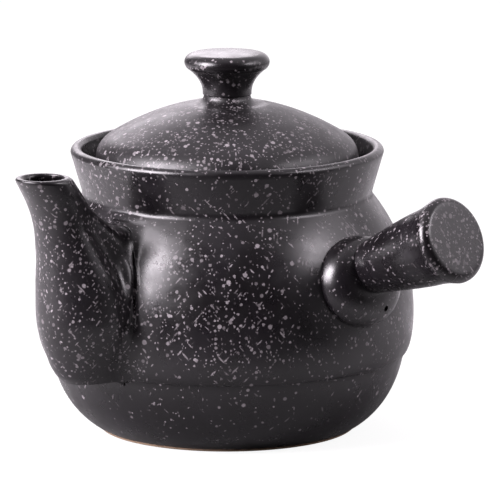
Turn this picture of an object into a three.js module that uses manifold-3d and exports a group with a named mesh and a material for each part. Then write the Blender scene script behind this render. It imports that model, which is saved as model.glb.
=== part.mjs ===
// A ceramic teapot with a side handle: a footed pot with a flared collar, a hollow spout, a hollow handle
// and a domed lid that lifts off. Millimetres, +Z up. The flat base stands on z = 0 with its centre at the
// origin, the spout points along -Y and the handle along +X.

import * as THREE from 'three';
import { mergeVertices } from 'three/addons/utils/BufferGeometryUtils.js';
import Module from 'manifold-3d';

const wasm = await Module();
wasm.setup();

// Sizes of the pot's body.
const footRadius = 69.3;
const waistHeight = 41;
const waistInset = 5.2;
const bowlBulge = 5.6;
const bowlBulgeShare = 0.57;
const bellyRadius = 100.5;
const bellyHeight = 62.5;
const neckRadius = 77.4;
const neckHeight = 127;
const bodyWall = 5.5;
const baseThickness = 6.5;
const baseEdge = 1;

// Sizes of the collar and of the ledge inside it that carries the lid.
const collarRise = 25.7;
const collarFlare = 6.5;
const rimThickness = 6;
const lipHeight = 6.2;
const collarFootWidth = 6;
const ledgeRise = 11;
const ledgeWidth = 10.4;
const ledgeThickness = 3.6;

// Sizes of the lid.
const lidEdgeThickness = 3.7;
const lidDomeRise = 32.8;
const lidWall = 5;
const lidGap = 4;
const lidNeckRadius = 12.2;
const lidNeckFootRadius = 19.5;
const lidNeckRise = 4.9;
const flangeWall = 4;
const flangeDepth = 10;
const flangeClearance = 1.3;

// Sizes of the knob.
const knobStemRadius = 13.1;
const knobRadius = 22.8;
const knobStemHeight = 4;
const knobFlareHeight = 13.6;
const knobCrown = 7.6;
const knobEdge = 1.6;
const knobBore = 6;
const knobBoreDepth = 15;

// Sizes of the spout and its strainer.
const mouthOverhang = 38.4;
const mouthRadius = 14.8;
const bulbRadius = 26.9;
const spoutWall = 4.6;
const strainerMargin = 5.3;
const strainerHeight = 72;
const strainerHoleRadius = 2;
const strainerHolePitch = 6.4;
const strainerEdge = 1.5;

// Sizes of the handle.
const bossHeight = 91.2;
const bossHalfWidth = 27.2;
const bossHalfHeight = 24.4;
const bossRise = 9.6;
const bossShift = 5;
const bossRoot = 14;
const bossWall = 4.5;
const handleTilt = THREE.MathUtils.degToRad(22.4);
const gripLength = 61.6;
const gripRadius = 14.25;
const gripWall = 4.5;
const gripFlare = 1.25;
const handleEndRadius = 22.8;
const endCapThickness = 5;
const endCapEdge = 2;
const ventRadius = 1.6;
const ventTurnShare = 0.78;
const ventSwing = THREE.MathUtils.degToRad(10);

// What the pieces share: the gap between pieces that are cut to one another, the overrun of a cutting
// shape past what it cuts, and how finely round shapes are divided.
const fitGap = 0.3;
const overrun = 20;
const bodySides = 44;
const spoutSides = 24;
const handleSides = 24;
const knobSides = 28;
const holeSides = 8;

// Sizes that follow from the ones above.
const waistRadius = bellyRadius - waistInset;
const rimRadius = neckRadius + collarFlare;
const rimHeight = neckHeight + collarRise;
const ledgeHeight = neckHeight + ledgeRise;
const strainerRadius = bulbRadius - spoutWall - strainerMargin;

// The spout's sections from the waist to the mouth. Height runs from 0 at the waist to 1 at the rim, reach
// from 0 at the belly's widest radius to 1 at the mouth's centre, and front, side and tail, the half
// widths outwards, across and inwards, from 0 for the mouth's radius to 1 for the bulb's.
const spoutSectionShares = [
  { height: 0.0, reach: 0.02, front: 0.4, side: -0.07, tail: 0.0 },
  { height: 0.04, reach: 0.02, front: 0.8, side: 0.14, tail: 0.6 },
  { height: 0.11, reach: 0.03, front: 1.12, side: 0.4, tail: 1.6 },
  { height: 0.2, reach: 0.1, front: 1.2, side: 0.68, tail: 2.6 },
  { height: 0.3, reach: 0.18, front: 1.08, side: 0.82, tail: 3.0 },
  { height: 0.45, reach: 0.28, front: 0.76, side: 0.74, tail: 2.7 },
  { height: 0.6, reach: 0.4, front: 0.43, side: 0.46, tail: 2.1 },
  { height: 0.66, reach: 0.46, front: 0.33, side: 0.34, tail: 1.9 },
  { height: 0.72, reach: 0.52, front: 0.23, side: 0.24, tail: 1.3 },
  { height: 0.79, reach: 0.61, front: 0.13, side: 0.15, tail: 0.45 },
  { height: 0.87, reach: 0.74, front: 0.05, side: 0.08, tail: 0.1 },
  { height: 1.0, reach: 1.0, front: 0.0, side: 0.0, tail: 0.0 },
];

// Outline and solid helpers.

/** Points of a 2-D curve, the first to the last. */
function along(curve, steps) {
  return curve.getPoints(steps);
}

/** A circular arc that starts upright at (radius, height) and ends at (endRadius, endHeight). */
function sideArc(radius, height, endRadius, endHeight, steps) {
  const inward = radius - endRadius;
  const rise = Math.abs(endHeight - height);
  const arcRadius = (inward ** 2 + rise ** 2) / (2 * inward);
  const endAngle = Math.asin(rise / arcRadius) * Math.sign(endHeight - height);
  const arc = new THREE.EllipseCurve(radius - arcRadius, height, arcRadius, arcRadius, 0, endAngle, endAngle < 0);
  return along(arc, steps);
}

/** A quarter ellipse, or a part of one, about (centreRadius, centreHeight), between two angles. */
function ellipseArc(centreRadius, centreHeight, acrossRadius, upRadius, from, to, steps) {
  const clockwise = to < from;
  return along(new THREE.EllipseCurve(centreRadius, centreHeight, acrossRadius, upRadius, from, to, clockwise), steps);
}

/** A geometry whose shared corners are merged and whose collapsed faces are dropped. */
function closed(geometry) {
  const bare = new THREE.BufferGeometry();
  bare.setAttribute('position', geometry.getAttribute('position'));
  bare.setIndex(geometry.getIndex());
  const merged = mergeVertices(bare);
  const corners = merged.getIndex().array;
  const kept = [];
  for (let i = 0; i < corners.length; i += 3) {
    const [a, b, c] = corners.slice(i, i + 3);
    if (a !== b && b !== c && c !== a) {
      kept.push(a, b, c);
    }
  }
  merged.setIndex(kept);
  return merged;
}

/** The solid that a closed geometry bounds. */
function solid(geometry) {
  const body = closed(geometry);
  const mesh = new wasm.Mesh({
    numProp: 3,
    vertProperties: new Float32Array(body.getAttribute('position').array),
    triVerts: new Uint32Array(body.getIndex().array),
  });
  return new wasm.Manifold(mesh);
}

/** A solid of revolution about +Z from an outline that runs anticlockwise, in radius and height. */
function turned(outline, sides) {
  const profile = [...outline, outline[0]];
  return solid(new THREE.LatheGeometry(profile, sides).rotateX(Math.PI / 2));
}

/** A solid skin over a stack of rings of points, closed flat at both ends. */
function lofted(rings) {
  const count = rings[0].length;
  const middle = (ring) => ring.reduce((sum, point) => sum.add(point), new THREE.Vector3()).divideScalar(count);
  const points = [...rings.flat(), middle(rings[0]), middle(rings[rings.length - 1])];
  const firstMiddle = rings.length * count;
  const faces = [];
  for (let i = 0; i < count; i += 1) {
    const next = (i + 1) % count;
    faces.push(firstMiddle, next, i);
    faces.push(firstMiddle + 1, firstMiddle - count + i, firstMiddle - count + next);
    for (let row = 0; row < rings.length - 1; row += 1) {
      const low = row * count;
      const high = low + count;
      faces.push(low + i, low + next, high + next);
      faces.push(low + i, high + next, high + i);
    }
  }
  const skin = new THREE.BufferGeometry().setFromPoints(points);
  skin.setIndex(faces);
  return solid(skin);
}

/** A mesh of a solid, with its name and material. */
function piece(name, body, material) {
  const { vertProperties, triVerts } = body.getMesh();
  const geometry = new THREE.BufferGeometry();
  geometry.setAttribute('position', new THREE.BufferAttribute(vertProperties, 3));
  geometry.setIndex(new THREE.BufferAttribute(triVerts, 1));
  geometry.computeVertexNormals();
  const mesh = new THREE.Mesh(geometry, material);
  mesh.name = name;
  return mesh;
}

const at = (radius, height) => new THREE.Vector2(radius, height);

// Materials.
const glaze = new THREE.MeshStandardMaterial({ color: 0x3b383d, roughness: 0.32, metalness: 0 });
const bareClay = new THREE.MeshStandardMaterial({ color: 0x8a7460, roughness: 0.85, metalness: 0 });

// The pot's body.

/** The bowl's side from the waist down to the foot, moved inwards by an inset. */
function bowlSide(inset, lowest, steps) {
  const top = at(waistRadius - inset, waistHeight);
  const foot = at(footRadius - inset, lowest);
  const chord = foot.clone().sub(top);
  const outward = at(-chord.y, chord.x).normalize();
  const pull = top.clone().lerp(foot, bowlBulgeShare).addScaledVector(outward, 2 * bowlBulge);
  return along(new THREE.QuadraticBezierCurve(top, pull, foot), steps);
}

function lowerBowl() {
  const outside = bowlSide(0, baseEdge, 8).reverse();
  const inside = bowlSide(bodyWall, baseThickness, 5);
  return turned([at(0, 0), at(footRadius - baseEdge, 0), ...outside, ...inside, at(0, baseThickness)], bodySides);
}

/** The belly's outline from the waist up to the neck, moved inwards by an inset. */
function bellySide(inset, lowSteps, highSteps) {
  const widest = bellyRadius - inset;
  const low = ellipseArc(waistRadius - inset, bellyHeight, bellyRadius - waistRadius, bellyHeight - waistHeight,
    -Math.PI / 2, 0, lowSteps);
  const high = sideArc(widest, bellyHeight, neckRadius - inset, neckHeight, highSteps);
  return [...low, ...high.slice(1)];
}

/** The whole space inside the belly's outer face, with a gap added, for cutting what is luted to it. */
function bellyCutter() {
  const side = bellySide(-fitGap, 4, 7);
  const lowest = at(waistRadius + fitGap, waistHeight - overrun);
  const highest = at(neckRadius + fitGap, neckHeight + overrun);
  return turned([at(0, lowest.y), lowest, ...side, highest, at(0, highest.y)], bodySides);
}

/** The round cut through the belly's wall towards the spout, or the disc that fits in it. */
function strainerCylinder(radius) {
  const length = bellyRadius;
  const cylinder = new THREE.CylinderGeometry(radius, radius, length, handleSides);
  return solid(cylinder.translate(0, -length / 2 - bellyRadius / 2, strainerHeight));
}

function bellyWall() {
  const outside = bellySide(0, 4, 7);
  const inside = bellySide(bodyWall, 3, 5).reverse();
  return turned([...outside, ...inside], bodySides);
}

function bellyShell() {
  return bellyWall().subtract(strainerCylinder(strainerRadius));
}

/** The holes of the strainer: one in the middle and rings of six, twelve and so on about it. */
function strainerHoles() {
  const places = [at(0, 0)];
  const room = strainerRadius - fitGap - strainerEdge - strainerHoleRadius;
  for (let ring = 1; ring * strainerHolePitch <= room; ring += 1) {
    const count = 6 * ring;
    for (let i = 0; i < count; i += 1) {
      const angle = (2 * Math.PI * i) / count;
      places.push(at(Math.cos(angle), Math.sin(angle)).multiplyScalar(ring * strainerHolePitch));
    }
  }
  return places.map(({ x, y }) => {
    const hole = new THREE.CylinderGeometry(strainerHoleRadius, strainerHoleRadius, bellyRadius, holeSides);
    return solid(hole.translate(x, -bellyRadius, strainerHeight + y));
  });
}

function spoutStrainer() {
  const disc = bellyWall().intersect(strainerCylinder(strainerRadius - fitGap));
  return strainerHoles().reduce((plate, hole) => plate.subtract(hole), disc);
}

/** The collar's inner face at a height: the outer flare moved inwards by the rim's thickness. */
function collarInnerRadius(height) {
  const share = (height - neckHeight) / (rimHeight - lipHeight / 2 - neckHeight);
  return THREE.MathUtils.lerp(neckRadius, rimRadius, share) - rimThickness;
}

const ledgeInnerRadius = collarInnerRadius(ledgeHeight) - ledgeWidth;

function collar() {
  const lipCentre = at(rimRadius - rimThickness / 2, rimHeight - lipHeight / 2);
  const lip = ellipseArc(lipCentre.x, lipCentre.y, rimThickness / 2, lipHeight / 2, 0, Math.PI, 6);
  return turned([
    at(neckRadius, neckHeight),
    ...lip,
    at(collarInnerRadius(ledgeHeight), ledgeHeight),
    at(ledgeInnerRadius, ledgeHeight),
    at(ledgeInnerRadius, ledgeHeight - ledgeThickness),
    at(neckRadius - collarFootWidth, neckHeight),
  ], bodySides);
}

// The lid.
const lidRadius = collarInnerRadius(ledgeHeight) - lidGap;
const lidSeat = ledgeHeight + fitGap;
const lidShoulder = lidSeat + lidEdgeThickness;
const flangeRadius = ledgeInnerRadius - flangeClearance;
const lidInnerRadius = flangeRadius - flangeWall;
const lidInnerRise = lidDomeRise - lidWall;

/** The height of the dome's outer face at a radius. */
function domeHeight(radius) {
  return lidShoulder + lidDomeRise * Math.sqrt(1 - (radius / lidRadius) ** 2);
}

const lidNeckTop = domeHeight(lidNeckFootRadius) + lidNeckRise;

function lidDome() {
  const edge = lidEdgeThickness / 3;
  const footAngle = Math.acos(lidNeckFootRadius / lidRadius);
  const dome = ellipseArc(0, lidShoulder, lidRadius, lidDomeRise, 0, footAngle, 8);
  const cove = along(new THREE.QuadraticBezierCurve(
    dome[dome.length - 1],
    at(lidNeckRadius, domeHeight(lidNeckFootRadius)),
    at(lidNeckRadius, lidNeckTop),
  ), 3);
  const boreAngle = Math.acos(knobBore / lidInnerRadius);
  const underside = ellipseArc(0, lidShoulder, lidInnerRadius, lidInnerRise, boreAngle, 0, 5);
  return turned([
    at(lidRadius - edge, lidSeat),
    at(lidRadius, lidSeat + edge),
    ...dome,
    ...cove.slice(1),
    at(knobBore, lidNeckTop),
    ...underside,
    at(lidInnerRadius, lidSeat),
  ], bodySides);
}

function lidFlange() {
  const lowest = lidSeat - flangeDepth;
  const edge = flangeWall / 4;
  return turned([
    at(lidInnerRadius + edge, lowest),
    at(flangeRadius - edge, lowest),
    at(flangeRadius, lowest + edge),
    at(flangeRadius, lidSeat),
    at(lidInnerRadius, lidSeat),
    at(lidInnerRadius, lowest + edge),
  ], bodySides);
}

function lidKnob() {
  const stemTop = lidNeckTop + knobStemHeight;
  const flareTop = stemTop + knobFlareHeight;
  const flare = along(new THREE.QuadraticBezierCurve(
    at(knobStemRadius, stemTop),
    at(knobStemRadius, stemTop + knobFlareHeight / 3),
    at(knobRadius - knobEdge, flareTop - knobEdge),
  ), 4);
  const crownAngle = Math.PI / 2;
  const crown = ellipseArc(0, flareTop, knobRadius, knobCrown, 0, crownAngle, 6);
  const boreTop = lidNeckTop + knobBoreDepth;
  return turned([
    at(knobBore, lidNeckTop),
    at(knobStemRadius, lidNeckTop),
    ...flare,
    ...crown.slice(0, -1),
    at(0, flareTop + knobCrown),
    at(0, boreTop),
    at(knobBore, boreTop - knobBore / 2),
  ], knobSides);
}

// The spout.

/** One ring of the spout's skin at a share of the way from the waist to the mouth, moved inwards. */
function spoutRing(section, inset, height) {
  const width = (share) => THREE.MathUtils.lerp(mouthRadius, bulbRadius, share) - inset;
  const reach = bellyRadius + section.reach * mouthOverhang;
  const points = [];
  for (let i = 0; i < spoutSides; i += 1) {
    const angle = (2 * Math.PI * i) / spoutSides;
    const outwards = Math.cos(angle);
    const depth = width(outwards > 0 ? section.front : section.tail);
    points.push(new THREE.Vector3(width(section.side) * Math.sin(angle), -reach - depth * outwards, height));
  }
  return points;
}

/** The section at a height share, read off smooth curves through the listed sections. */
function spoutSections(steps) {
  const rows = spoutSectionShares;
  const spine = new THREE.CatmullRomCurve3(rows.map((row) => new THREE.Vector3(row.height, row.reach, row.front)));
  const sides = new THREE.CatmullRomCurve3(rows.map((row) => new THREE.Vector3(row.height, row.side, row.tail)));
  const sections = [];
  for (let i = 0; i <= steps; i += 1) {
    const [place, half] = [spine.getPoint(i / steps), sides.getPoint(i / steps)];
    sections.push({ height: place.x, reach: place.y, front: place.z, side: half.y, tail: half.z });
  }
  return sections;
}

function spout() {
  const sections = spoutSections(16);
  const heightAt = (share) => THREE.MathUtils.lerp(waistHeight, rimHeight, share);
  const skin = lofted(sections.map((section) => spoutRing(section, 0, heightAt(section.height))));
  const floor = waistHeight + spoutWall;
  const open = sections.filter((section) => heightAt(section.height) > floor);
  const bore = open.map((section) => spoutRing(section, spoutWall, heightAt(section.height)));
  bore.unshift(spoutRing(open[0], spoutWall * 1.5, floor));
  bore.push(spoutRing(open[open.length - 1], spoutWall, rimHeight + overrun));
  return skin.subtract(lofted(bore)).subtract(bellyCutter());
}

// The handle.

/** The radius of the belly's outer face at a height above its widest. */
function bellyOuterRadius(height) {
  const inward = bellyRadius - neckRadius;
  const rise = neckHeight - bellyHeight;
  const arcRadius = (inward ** 2 + rise ** 2) / (2 * inward);
  return bellyRadius - arcRadius + Math.sqrt(arcRadius ** 2 - (height - bellyHeight) ** 2);
}

const handleAxis = new THREE.Vector3(Math.cos(handleTilt), 0, Math.sin(handleTilt));
const handleUp = new THREE.Vector3(-Math.sin(handleTilt), 0, Math.cos(handleTilt));
const bossCentre = new THREE.Vector3(bellyOuterRadius(bossHeight), 0, bossHeight);
const gripStart = bossCentre.clone().addScaledVector(handleAxis, bossRise).addScaledVector(handleUp, bossShift);

/** An oval ring about the handle's line, at a distance along it and a shift across it. */
function handleRing(halfWidth, halfHeight, distance, shift) {
  const centre = bossCentre.clone().addScaledVector(handleAxis, distance).addScaledVector(handleUp, shift);
  const points = [];
  for (let i = 0; i < handleSides; i += 1) {
    const angle = (2 * Math.PI * i) / handleSides;
    const point = centre.clone().addScaledVector(handleUp, halfHeight * Math.cos(angle));
    points.push(point.setY(-halfWidth * Math.sin(angle)));
  }
  return points;
}

/** The boss's outline at a turn from its side, 0, to its flat top, 1: how far out, how wide, how shifted. */
function bossSection(turn, topDistance) {
  const angle = (Math.PI / 2) * turn;
  const drop = 1 - Math.cos(angle);
  return {
    distance: THREE.MathUtils.lerp(-bossRoot / 2, topDistance, Math.sin(angle)),
    halfWidth: THREE.MathUtils.lerp(bossHalfWidth, gripRadius, drop),
    halfHeight: THREE.MathUtils.lerp(bossHalfHeight, gripRadius, drop),
    shift: bossShift * drop,
  };
}

/** The domed skin of the boss from its root inside the belly to its flat top, moved inwards. */
function bossSkin(inset, topDistance) {
  const rings = [handleRing(bossHalfWidth - inset, bossHalfHeight - inset, -bossRoot, 0)];
  const steps = 6;
  for (let i = 0; i <= steps; i += 1) {
    const { distance, halfWidth, halfHeight, shift } = bossSection(i / steps, topDistance);
    rings.push(handleRing(halfWidth - inset, halfHeight - inset, distance, shift));
  }
  return lofted(rings);
}

/** The small hole through the underside of the boss, square to its surface. */
function ventHole() {
  const { distance, halfWidth, halfHeight, shift } = bossSection(ventTurnShare, bossRise);
  const place = bossCentre.clone()
    .addScaledVector(handleAxis, distance)
    .addScaledVector(handleUp, shift - halfHeight * Math.cos(ventSwing))
    .setY(halfWidth * Math.sin(ventSwing));
  const outward = handleAxis.clone().sub(handleUp).normalize();
  const turn = new THREE.Quaternion().setFromUnitVectors(new THREE.Vector3(0, 1, 0), outward);
  const vent = new THREE.CylinderGeometry(ventRadius, ventRadius, overrun, holeSides);
  return solid(vent.applyQuaternion(turn).translate(place.x, place.y, place.z));
}

function handleBoss() {
  const through = bossSkin(bossWall, bossRise - bossWall);
  const boreRadius = gripRadius - gripWall;
  const bore = lofted([
    handleRing(boreRadius, boreRadius, 0, bossShift),
    handleRing(boreRadius, boreRadius, overrun, bossShift),
  ]);
  return bossSkin(0, bossRise)
    .subtract(through)
    .subtract(bore)
    .subtract(ventHole())
    .subtract(bellyCutter());
}

/** The grip's outer radius at a share of its length: narrow at the boss, flared at the end. */
function gripRadiusAt(share) {
  return gripRadius + (handleEndRadius - gripRadius) * share ** gripFlare;
}

function handleGrip() {
  const steps = 5;
  const bodyLength = gripLength - endCapThickness - fitGap;
  const outside = [];
  for (let i = 0; i <= steps; i += 1) {
    outside.push(at(gripRadiusAt((i / steps) * (bodyLength / gripLength)), (i / steps) * bodyLength));
  }
  const inside = outside.map((point) => at(point.x - gripWall, point.y)).reverse();
  return turned([...outside, ...inside], handleSides);
}

function handleEndCap() {
  const start = gripLength - endCapThickness;
  const startRadius = gripRadiusAt(start / gripLength);
  const outerEdge = ellipseArc(handleEndRadius - endCapEdge, gripLength - endCapEdge, endCapEdge, endCapEdge,
    0, Math.PI / 2, 3);
  return turned([at(0, start), at(startRadius, start), ...outerEdge, at(0, gripLength)], handleSides);
}

// The assembly.
const pot = new THREE.Group();
pot.add(piece('lower_bowl', lowerBowl(), glaze));
pot.add(piece('belly_shell', bellyShell(), glaze));
pot.add(piece('collar', collar(), glaze));
pot.add(piece('spout', spout(), glaze));
pot.add(piece('spout_strainer', spoutStrainer(), glaze));
pot.add(piece('handle_boss', handleBoss(), glaze));

const handle = new THREE.Group();
handle.position.copy(gripStart).addScaledVector(handleAxis, fitGap);
handle.rotation.y = Math.PI / 2 - handleTilt;
handle.add(piece('handle_grip', handleGrip(), glaze));
handle.add(piece('handle_end_cap', handleEndCap(), glaze));
pot.add(handle);

const lid = new THREE.Group();
lid.add(piece('lid_dome', lidDome(), glaze));
lid.add(piece('lid_flange', lidFlange(), bareClay));
lid.add(piece('lid_knob', lidKnob(), glaze));

const teapot = new THREE.Group();
teapot.add(pot, lid);

export default teapot;
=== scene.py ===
"""A ceramic side-handle teapot in a speckled charcoal glaze, in a plain studio.

Everything is in metres, +Z up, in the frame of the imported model: the flat base stands on z = 0 with its
centre at the origin, the spout points along -Y and the handle along +X.
"""

import logging
import math
from collections.abc import Callable, Sequence
from dataclasses import dataclass, field
from enum import Enum
from typing import NamedTuple

import bmesh
import bpy
import numpy as np
from mathutils import Euler, Matrix, Vector


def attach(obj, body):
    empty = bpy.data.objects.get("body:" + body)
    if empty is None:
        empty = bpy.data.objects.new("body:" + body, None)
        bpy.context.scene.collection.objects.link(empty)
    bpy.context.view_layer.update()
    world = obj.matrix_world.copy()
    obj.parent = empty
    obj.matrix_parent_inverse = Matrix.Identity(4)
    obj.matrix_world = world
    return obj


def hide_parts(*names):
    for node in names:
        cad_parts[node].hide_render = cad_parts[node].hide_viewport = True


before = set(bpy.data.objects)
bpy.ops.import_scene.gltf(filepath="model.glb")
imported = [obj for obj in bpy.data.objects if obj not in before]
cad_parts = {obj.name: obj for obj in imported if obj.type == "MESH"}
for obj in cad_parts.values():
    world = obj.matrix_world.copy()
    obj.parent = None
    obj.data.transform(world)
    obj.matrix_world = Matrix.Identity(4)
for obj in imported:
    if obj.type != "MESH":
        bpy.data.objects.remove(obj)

log = logging.getLogger("teapot")

Point = tuple[float, float]
Outline = list[Point]
Marks = tuple[float, float, float, float]
Colour = tuple[float, float, float, float]
Field = Callable[[np.ndarray], np.ndarray]

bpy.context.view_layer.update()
MM = 0.001
SAME_PLACE = 0.01 * MM
SLIVER = 0.002 * MM
WHITE = (1.0, 1.0, 1.0, 1.0)


class Body(Enum):
    """The two loose parts of the teapot."""

    POT = "pot"
    LID = "lid"


class Slot(Enum):
    """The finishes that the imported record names."""

    GLAZE = "speckled_glaze"
    CLAY = "bare_clay"


# Outlines and curves.


def bezier(start: Point, pull: Point, end: Point, steps: int) -> Outline:
    """Points of a quadratic curve.

    Args:
        start: Where the curve starts.
        pull: The point that it is pulled towards.
        end: Where it ends.
        steps: How many stretches it is divided into.

    Returns:
        The points, the first and the last included.
    """
    share = np.linspace(0, 1, steps + 1)[:, None]
    start, pull, end = (np.array(point) for point in (start, pull, end))
    points = (1 - share) ** 2 * start + 2 * share * (1 - share) * pull + share**2 * end
    return [tuple(point) for point in points]


def ellipse_arc(centre: Point, across: float, rise: float, start: float, end: float, steps: int) -> Outline:
    """Points of a stretch of an ellipse in radius and height.

    Args:
        centre: The ellipse's centre.
        across: Its half width.
        rise: Its half height.
        start: The first angle in radians, counted from the outside upwards.
        end: The last angle.
        steps: How many stretches it is divided into.

    Returns:
        The points, the first and the last included.
    """
    angles = np.linspace(start, end, steps + 1)
    return [(centre[0] + across * math.cos(angle), centre[1] + rise * math.sin(angle)) for angle in angles]


def divided(outline: Sequence[Point], longest: float) -> Outline:
    """Splits the stretches of an outline that are longer than a length.

    Args:
        outline: The points in order.
        longest: The longest stretch that stays whole.

    Returns:
        The outline with points added on its long stretches.
    """
    points: Outline = [outline[0]]
    for low, high in zip(outline, outline[1:]):
        count = max(1, math.ceil(math.dist(low, high) / longest))
        for i in range(1, count + 1):
            share = i / count
            points.append((low[0] + (high[0] - low[0]) * share, low[1] + (high[1] - low[1]) * share))
    return points


def divided_ring(section: Sequence[Point], longest: float) -> Outline:
    """Splits the long stretches of an outline that closes on itself."""
    return divided([*section, section[0]], longest)[:-1]


def smooth_rows(rows: np.ndarray, steps: int) -> np.ndarray:
    """Reads rows of values off smooth curves that pass through them and never overshoot.

    Args:
        rows: The rows, in order.
        steps: How many stretches there are between two rows.

    Returns:
        The finer rows, the given ones included.
    """
    spans = np.linalg.norm(np.diff(rows, axis=0), axis=1)[:, None]
    slopes = np.diff(rows, axis=0) / spans
    tangents = np.zeros_like(rows)
    tangents[0], tangents[-1] = slopes[0], slopes[-1]
    before, after = slopes[:-1], slopes[1:]
    weight_before, weight_after = spans[:-1] + 2 * spans[1:], 2 * spans[:-1] + spans[1:]
    same = before * after > 0
    with np.errstate(divide="ignore", invalid="ignore"):
        mean = (weight_before + weight_after) / (weight_before / before + weight_after / after)
    tangents[1:-1] = np.where(same, mean, 0.0)
    share = np.linspace(0, 1, steps, endpoint=False)[:, None, None]
    low, high = rows[:-1], rows[1:]
    finer = (
        (2 * share**3 - 3 * share**2 + 1) * low
        + (share**3 - 2 * share**2 + share) * spans * tangents[:-1]
        + (3 * share**2 - 2 * share**3) * high
        + (share**3 - share**2) * spans * tangents[1:]
    )
    return np.vstack([finer.transpose(1, 0, 2).reshape(-1, rows.shape[1]), rows[-1:]])


def ease(share: np.ndarray) -> np.ndarray:
    """A step from nought to one that starts and ends gently."""
    share = np.clip(share, 0, 1)
    return share**2 * (3 - 2 * share)


def window(height: np.ndarray, marks: Marks) -> np.ndarray:
    """One between the two middle marks, easing to nought at the outer ones."""
    first, full, fading, last = marks
    return ease((height - first) / (full - first)) * ease((last - height) / (last - fading))


def bell(away: np.ndarray, width: float) -> np.ndarray:
    """One where the distance is nought, fading to nought over a few widths."""
    return np.exp(-((away / width) ** 2))


def angles_round(count: int) -> np.ndarray:
    """Evenly spaced angles all the way round a circle."""
    return np.linspace(0, 2 * math.pi, count, endpoint=False)


def slope_of(field_of: Field, points: np.ndarray) -> np.ndarray:
    """How fast a distance grows along each axis, at each point.

    Args:
        field_of: The distance, as a function of points.
        points: Where it is read.

    Returns:
        The slope along x, y and z at each point.
    """
    reach = 0.05 * MM
    parts = []
    for axis in np.eye(3):
        parts.append(field_of(points + reach * axis) - field_of(points - reach * axis))
    return np.stack(parts, axis=-1) / (2 * reach)


def settle(field_of: Field, points: np.ndarray, rounds: int = 5) -> np.ndarray:
    """Moves points onto the surface where a distance is nought.

    Args:
        field_of: The distance from the surface.
        points: Points near it.
        rounds: How many times each point steps nearer.

    Returns:
        The moved points.
    """
    least_steepness = 0.2
    for _ in range(rounds):
        slope = slope_of(field_of, points)
        steepness = np.maximum((slope**2).sum(axis=-1), least_steepness)
        points = points - slope * (field_of(points) / steepness)[:, None]
    return points


# Making and finishing pieces.


def new_object(name: str, mesh: bpy.types.Mesh) -> bpy.types.Object:
    """A new object in the scene that holds a mesh.

    Args:
        name: The object's name.
        mesh: Its mesh.

    Returns:
        The new object.
    """
    piece = bpy.data.objects.new(name, mesh)
    bpy.context.scene.collection.objects.link(piece)
    return piece


def bake(piece: bpy.types.Object) -> None:
    """Turns what the modifiers of a piece make into its plain mesh, and removes them.

    Args:
        piece: The piece, with its modifiers.
    """
    graph = bpy.context.evaluated_depsgraph_get()
    mesh = bpy.data.meshes.new_from_object(piece.evaluated_get(graph))
    piece.modifiers.clear()
    old, piece.data = piece.data, mesh
    bpy.data.meshes.remove(old)


def tidy(piece: bpy.types.Object, crease: float = math.radians(40)) -> None:
    """Merges doubles, points the faces outwards and shades the piece smooth between its creases.

    Args:
        piece: The piece, with a plain closed mesh.
        crease: The angle past which an edge stays sharp.
    """
    body = bmesh.new()
    body.from_mesh(piece.data)
    bmesh.ops.remove_doubles(body, verts=body.verts, dist=SAME_PLACE)
    bmesh.ops.dissolve_degenerate(body, dist=SLIVER, edges=body.edges)
    bmesh.ops.recalc_face_normals(body, faces=body.faces)
    if body.calc_volume(signed=True) < 0:
        bmesh.ops.reverse_faces(body, faces=body.faces)
    body.to_mesh(piece.data)
    body.free()
    piece.data.shade_smooth()
    piece.data.set_sharp_from_angle(angle=crease)


def dress(piece: bpy.types.Object, material: bpy.types.Material) -> None:
    """Gives the whole piece one material.

    Args:
        piece: The piece, with a plain mesh.
        material: The material of all its faces.
    """
    piece.data.materials.clear()
    piece.data.materials.append(material)
    piece.data.polygons.foreach_set("material_index", np.zeros(len(piece.data.polygons), np.int32))


def hand_over(piece: bpy.types.Object, body: Body, node: str) -> None:
    """Says which CAD node a piece stands for and what it rides on.

    Args:
        piece: The finished piece.
        body: The body that it rides on.
        node: The CAD node that it stands for.
    """
    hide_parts(node)
    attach(piece, body.value)
    log.info("%s stands for %s, %d faces", piece.name, node, len(piece.data.polygons))


def ring_mesh(name: str, rings: Sequence[np.ndarray]) -> bpy.types.Object:
    """A closed skin over a stack of rings, with both ends closed to their middles.

    Args:
        name: The object's name.
        rings: Rings of points, all with the same count.

    Returns:
        The new object.
    """
    count = len(rings[0])
    points = np.vstack([*rings, rings[0].mean(axis=0), rings[-1].mean(axis=0)])
    first_middle = count * len(rings)
    faces = []
    for i in range(count):
        after = (i + 1) % count
        faces.append((first_middle, after, i))
        faces.append((first_middle + 1, first_middle - count + i, first_middle - count + after))
        for row in range(len(rings) - 1):
            low = row * count
            faces.append((low + i, low + after, low + count + after, low + count + i))
    mesh = bpy.data.meshes.new(name)
    mesh.from_pydata(points.tolist(), [], faces)
    return new_object(name, mesh)


def cut_away(piece: bpy.types.Object, *tools: bpy.types.Object) -> None:
    """Cuts closed shapes out of a closed piece, and removes the shapes.

    Args:
        piece: The piece that is cut.
        *tools: The closed shapes to cut out of it.
    """
    for tool in tools:
        tidy(tool)
        cut = piece.modifiers.new("cut", "BOOLEAN")
        cut.operation = "DIFFERENCE"
        cut.solver = "MANIFOLD"
        cut.object = tool
        bake(piece)
        bpy.data.objects.remove(tool)


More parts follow.
